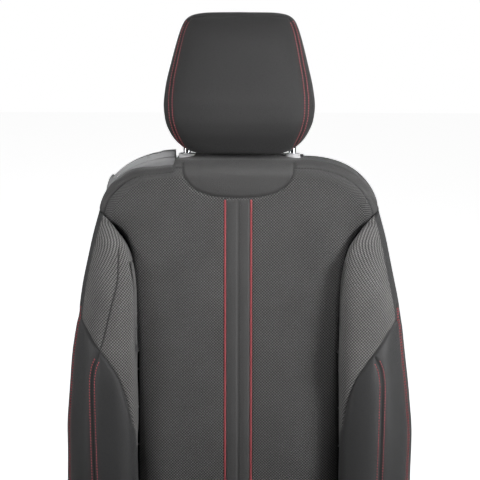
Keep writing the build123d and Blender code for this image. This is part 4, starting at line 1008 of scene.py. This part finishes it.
def build_cushion_centre():
    path, far = cushion_path(
        [(-312, 154), (-331, 154), (-336, 175), (-336, 270), (-332, 312), (-300, 325), (-240, 319),
         (-60, 301), (50, 290), (92, 284), (112, 284), (132, 300), (156, 313), (172, 314), (173, 280), (173, 205)], 360)
    out = path_normals(path)
    cols = 200
    x = np.linspace(-1, 1, cols) * CUSHION_HALF
    edge = CUSHION_HALF - np.abs(x)
    crown = 3.0 * (1 - (np.abs(x) / CUSHION_HALF) ** 2.2)
    sink = 9.0 * np.exp(-((edge / 7.0) ** 1.2))
    rise = crown - sink
    y = path[:, 0][:, None] + out[:, 0][:, None] * rise[None]
    z = path[:, 1][:, None] + out[:, 1][:, None] * rise[None]
    # Side walls that go down into the seam beside the bolsters.
    down = np.linspace(0, 0.6, 9)[1:]
    inner_y, inner_z = np.clip(path[:, 0], -296, 130), np.clip(path[:, 1], 154, 215)
    wall_y = y[:, :1] + (inner_y[:, None] - y[:, :1]) * down[None]
    wall_z = z[:, :1] + (inner_z[:, None] - z[:, :1]) * down[None]
    y = np.concatenate([wall_y[:, ::-1], y, wall_y], 1)
    z = np.concatenate([wall_z[:, ::-1], z, wall_z], 1)
    across = np.concatenate([-CUSHION_HALF - 60 * down[::-1], x, CUSHION_HALF + 60 * down])
    x = np.clip(across, -CUSHION_HALF, CUSHION_HALF)
    edge = CUSHION_HALF - np.abs(x)
    cols = len(x)
    grid = row(np.broadcast_to(x[None], y.shape), y, z)
    n = facing(grid, (150, cols // 2), (0, -0.3, 1.0))
    flat = grid.reshape(-1, 3)
    faces = grid_faces(*grid.shape[:2])
    arc = np.linspace(0, far, 360)
    cut = np.zeros(len(flat))
    inner = 1 - step(arc, far - 250, far - 225)
    for at in (-PIPE_U, 0.0, PIPE_U):
        gap = np.abs(np.broadcast_to(x[None], y.shape) - at).ravel()
        depth, width = (2.0, 2.4) if at else (1.6, 1.5)
        cut = np.maximum(cut, valley(gap, depth, width, 1.4, 9.0) * np.repeat(inner, cols))
    cross = np.abs(arc - CUSHION_FRONT_SEAM)
    cut = np.maximum(cut, np.repeat(valley(cross, 2.4, 1.7, 1.8, 9.0), cols))
    moved = sunk(flat, n, cut)
    leather = np.maximum(CUSHION_FRONT_SEAM - arc[:, None], PIPE_U - np.abs(x)[None])
    # Painted shade: darker towards the panel's sides beside the bolsters.
    shade = np.broadcast_to(0.55 * np.exp(-((edge / 8.0) ** 2))[None], y.shape)
    uv = np.stack(np.broadcast_arrays(across[None], arc[:, None]), -1).reshape(-1, 2) / 1000.0
    obj = make_mesh("cushion_centre_cover", moved, faces, MESH, uv, {"leather": leather, "shade": shade})
    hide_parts("cushion_center_pad")
    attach(obj, "seat_base")
    grid = moved.reshape(grid.shape)
    for key, at in (("outboard", -PIPE_U), ("inboard", PIPE_U)):
        col = int(np.argmin(np.abs(x - at)))
        line = smooth_line(grid[55:255, col], 4) + n.reshape(grid.shape)[55:255, col] * 0.0009
        line[:, 0] = at / 1000.0
        pipe = tube(f"cushion_piping_{key}", line, PIPE_RADIUS, PIPE, lift=(0.05, -0.9, 1.0))
        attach(pipe, "seat_base")
    tree = tree_of(moved, faces)
    front = grid[int(np.argmin(np.abs(arc - CUSHION_FRONT_SEAM)))][14:-14]
    normals = n.reshape(grid.shape)[int(np.argmin(np.abs(arc - CUSHION_FRONT_SEAM)))][14:-14]
    stitches = stitch_mesh("cushion_front_stitches", shifted_runs(tree, front, normals, (-3.2, 3.2)), RED)
    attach(stitches, "seat_base")


def build_cushion_bolster(sign, tag):
    rows = 330
    path, far = cushion_path(
        [(-312, 154), (-328, 154), (-332, 175), (-332, 280), (-328, 333), (-290, 350), (-200, 352),
         (-70, 350), (10, 330), (80, 300), (104, 297), (124, 315), (146, 329), (150, 318), (150, 290)], rows)
    out = path_normals(path)
    inner_x, outer_x = BOLSTER_INNER, BOLSTER_OUTER
    a = np.linspace(0, math.pi / 2, 36)
    top_x = inner_x + 0.5 * (outer_x - inner_x)
    rise = np.stack([top_x - (top_x - inner_x) * np.cos(a) ** 0.62, -26 + 26 * np.sin(a) ** 0.62], -1)
    fall = np.stack([top_x + (outer_x - top_x) * np.sin(a) ** 0.62, -30 + 30 * np.cos(a) ** 0.62], -1)
    arch, _ = resample(np.concatenate([rise, fall[1:]]), 96)
    spine_y = np.clip(path[:, 0], -296, 136)
    spine_z = np.where(path[:, 0] < -300, np.clip(path[:, 1], 154, 215), 205.0)
    spine_z = np.where(path[:, 0] > 118, 285.0, spine_z)
    spine = np.stack([spine_y, smooth_line(spine_z, 30)], -1)
    wall = np.linspace(0, 1, 34)[1:]
    parts = []
    for side, x_edge, drop in ((0, inner_x, arch[0, 1]), (1, outer_x, arch[-1, 1])):
        rim = path + out * drop
        way = rim[:, None, :] * (1 - wall)[None, :, None] + spine[:, None, :] * wall[None, :, None]
        swell = (2.5 if side else 0.0) * np.sin(np.minimum(wall, 1) * math.pi)
        xs = x_edge - swell * 0.6 if side else np.full(len(wall), x_edge)
        xs = np.broadcast_to(xs[None], way.shape[:2])
        parts.append(np.stack([xs, way[..., 0], way[..., 1]], -1))
    top = np.stack(
        [
            np.broadcast_to(arch[:, 0][None], (rows, len(arch))),
            path[:, 0][:, None] + out[:, 0][:, None] * arch[:, 1][None],
            path[:, 1][:, None] + out[:, 1][:, None] * arch[:, 1][None],
        ],
        -1,
    )
    grid = np.concatenate([parts[0][:, ::-1], top, parts[1]], 1)
    grid[..., 0] *= sign
    grid = grid / 1000.0
    n = facing(grid, (rows // 2, 33 + 48), (0, 0, 1.0))
    flat = grid.reshape(-1, 3)
    faces = grid_faces(*grid.shape[:2], flip=sign < 0)
    x = np.abs(grid[..., 0]) * 1000
    width = np.linspace(0, far, rows)
    inner_seam = grid[30:265, 33 + 26]
    outer_seam = grid[8:300, 33 + 84]
    cut = np.zeros(len(flat))
    for line in (inner_seam, outer_seam):
        dense, _ = resample(line, 600)
        cut = np.maximum(cut, valley(distance_to(flat, dense), 1.7, 1.5, 1.6, 8.0))
    moved = sunk(flat, n, cut)
    steps = np.linalg.norm(np.diff(grid, axis=1), axis=-1)
    across = np.concatenate([np.zeros((rows, 1)), np.cumsum(steps, 1)], 1) * 1000
    uv = np.stack(np.broadcast_arrays(across, width[:, None]), -1).reshape(-1, 2) / 1000.0
    leather = np.full(x.size, ALL_LEATHER)
    marks = {"leather": leather, "shade": np.zeros(x.size)}
    obj = make_mesh(f"cushion_bolster_cover_{tag}", moved, faces, SIDE_MESH, uv, marks)
    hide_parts(f"cushion_bolster_{tag}")
    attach(obj, "seat_base")
    tree = tree_of(moved, faces)
    runs = shifted_runs(tree, inner_seam, n[30:265, 33 + 26], (-4.0, 4.0))
    runs += shifted_runs(tree, outer_seam, n[8:300, 33 + 84], (-2.9, 2.9))
    stitches = stitch_mesh(f"cushion_stitches_{tag}", runs, RED)
    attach(stitches, "seat_base")


build_centre()
build_headrest()
build_bezel()
for sign, tag in ((-1, "outboard"), (1, "inboard")):
    build_bolster(sign, tag)
    build_cushion_bolster(sign, tag)
build_cushion_centre()

# ---- finishes of the CAD nodes
FINISH = {
    "rail_steel": RAIL,
    "frame_paint": PAINT,
    "bare_steel": STEEL,
    "zinc_bolts": ZINC,
    "post_chrome": CHROME,
    "trim_plastic": TRIM,
    "inner_plastic": INNER,
    "grip_rubber": RUBBER,
    "bar_paint": PAINT,
    "collar_plastic": COLLAR,
    "release_plastic": GREY,
    "mesh_fabric": MESH,
    "smooth_leather": LEATHER,
}
for entry in frame["record"]["subparts"]:
    node = frame["nodes"][entry["node"]]
    for slot in node.material_slots:
        slot.material = FINISH[entry["material_slot"]]

# ---- studio
corners = row([-3000, 3000, 3000, -3000], [-3000, -3000, 3200, 3200], 0.0)
ground = make_mesh("floor", corners, [(0, 1, 2, 3)], FLOOR)


def softbox(name, at, aim, size, power, spread=180):
    lamp = bpy.data.lights.new(name, "AREA")
    lamp.shape = "RECTANGLE"
    lamp.size, lamp.size_y = size
    lamp.energy = power
    lamp.spread = math.radians(spread)
    obj = bpy.data.objects.new(name, lamp)
    obj.location = at
    obj.rotation_euler = (Vector(aim) - Vector(at)).to_track_quat("-Z", "Y").to_euler()
    SCENE.collection.objects.link(obj)


softbox("key_front", (0.30, -0.70, 2.0), (0.02, 0.38, 0.93), (0.7, 0.45), 0.9, spread=36)
softbox("key_top", (0.25, 0.10, 2.1), (0.0, 0.45, 0.95), (1.2, 0.8), 3.1)
softbox("side_right", (1.7, -0.75, 1.25), (0.2, 0.25, 0.68), (0.5, 1.0), 3.0, spread=44)
softbox("side_left", (-1.7, -0.75, 1.25), (-0.2, 0.25, 0.68), (0.5, 1.0), 1.35, spread=44)
softbox("rim_right", (1.3, 0.85, 1.45), (0.15, 0.33, 0.8), (0.6, 1.2), 5.0)
softbox("rim_left", (-1.3, 0.85, 1.45), (-0.15, 0.33, 0.8), (0.6, 1.2), 2.6)
world = bpy.data.worlds.new("studio")
world.use_nodes = True
sky = world.node_tree
ray = sky.nodes.new("ShaderNodeLightPath")
level = sky.nodes.new("ShaderNodeMapRange")
level.inputs["To Min"].default_value = AMBIENT
level.inputs["To Max"].default_value = 1.0
sky.links.new(ray.outputs["Is Camera Ray"], level.inputs["Value"])
sky.nodes["Background"].inputs[0].default_value = (1, 1, 1, 1)
sky.links.new(level.outputs[0], sky.nodes["Background"].inputs[1])
SCENE.world = world
SCENE.view_settings.view_transform = "Standard"
SCENE.view_settings.look = "None"

AZIMUTH, ELEVATION, DISTANCE = math.radians(2.5), math.radians(22.0), 3.6
VIEW_WIDTH = 0.768  # metres across the picture at the target
target = Vector((0.001, 0.332, 0.760))
level_run = math.cos(ELEVATION)
view = Vector((math.sin(AZIMUTH) * level_run, -math.cos(AZIMUTH) * level_run, math.sin(ELEVATION)))
lens = bpy.data.cameras.new("camera")
lens.sensor_width = 36.0
lens.lens = 36.0 * DISTANCE / VIEW_WIDTH
camera = bpy.data.objects.new("camera", lens)
camera.location = target + view * DISTANCE
right = (-view).cross(BACK_UP).normalized()
camera.rotation_euler = Matrix((right, right.cross(-view), view)).transposed().to_euler()
SCENE.collection.objects.link(camera)
SCENE.camera = camera
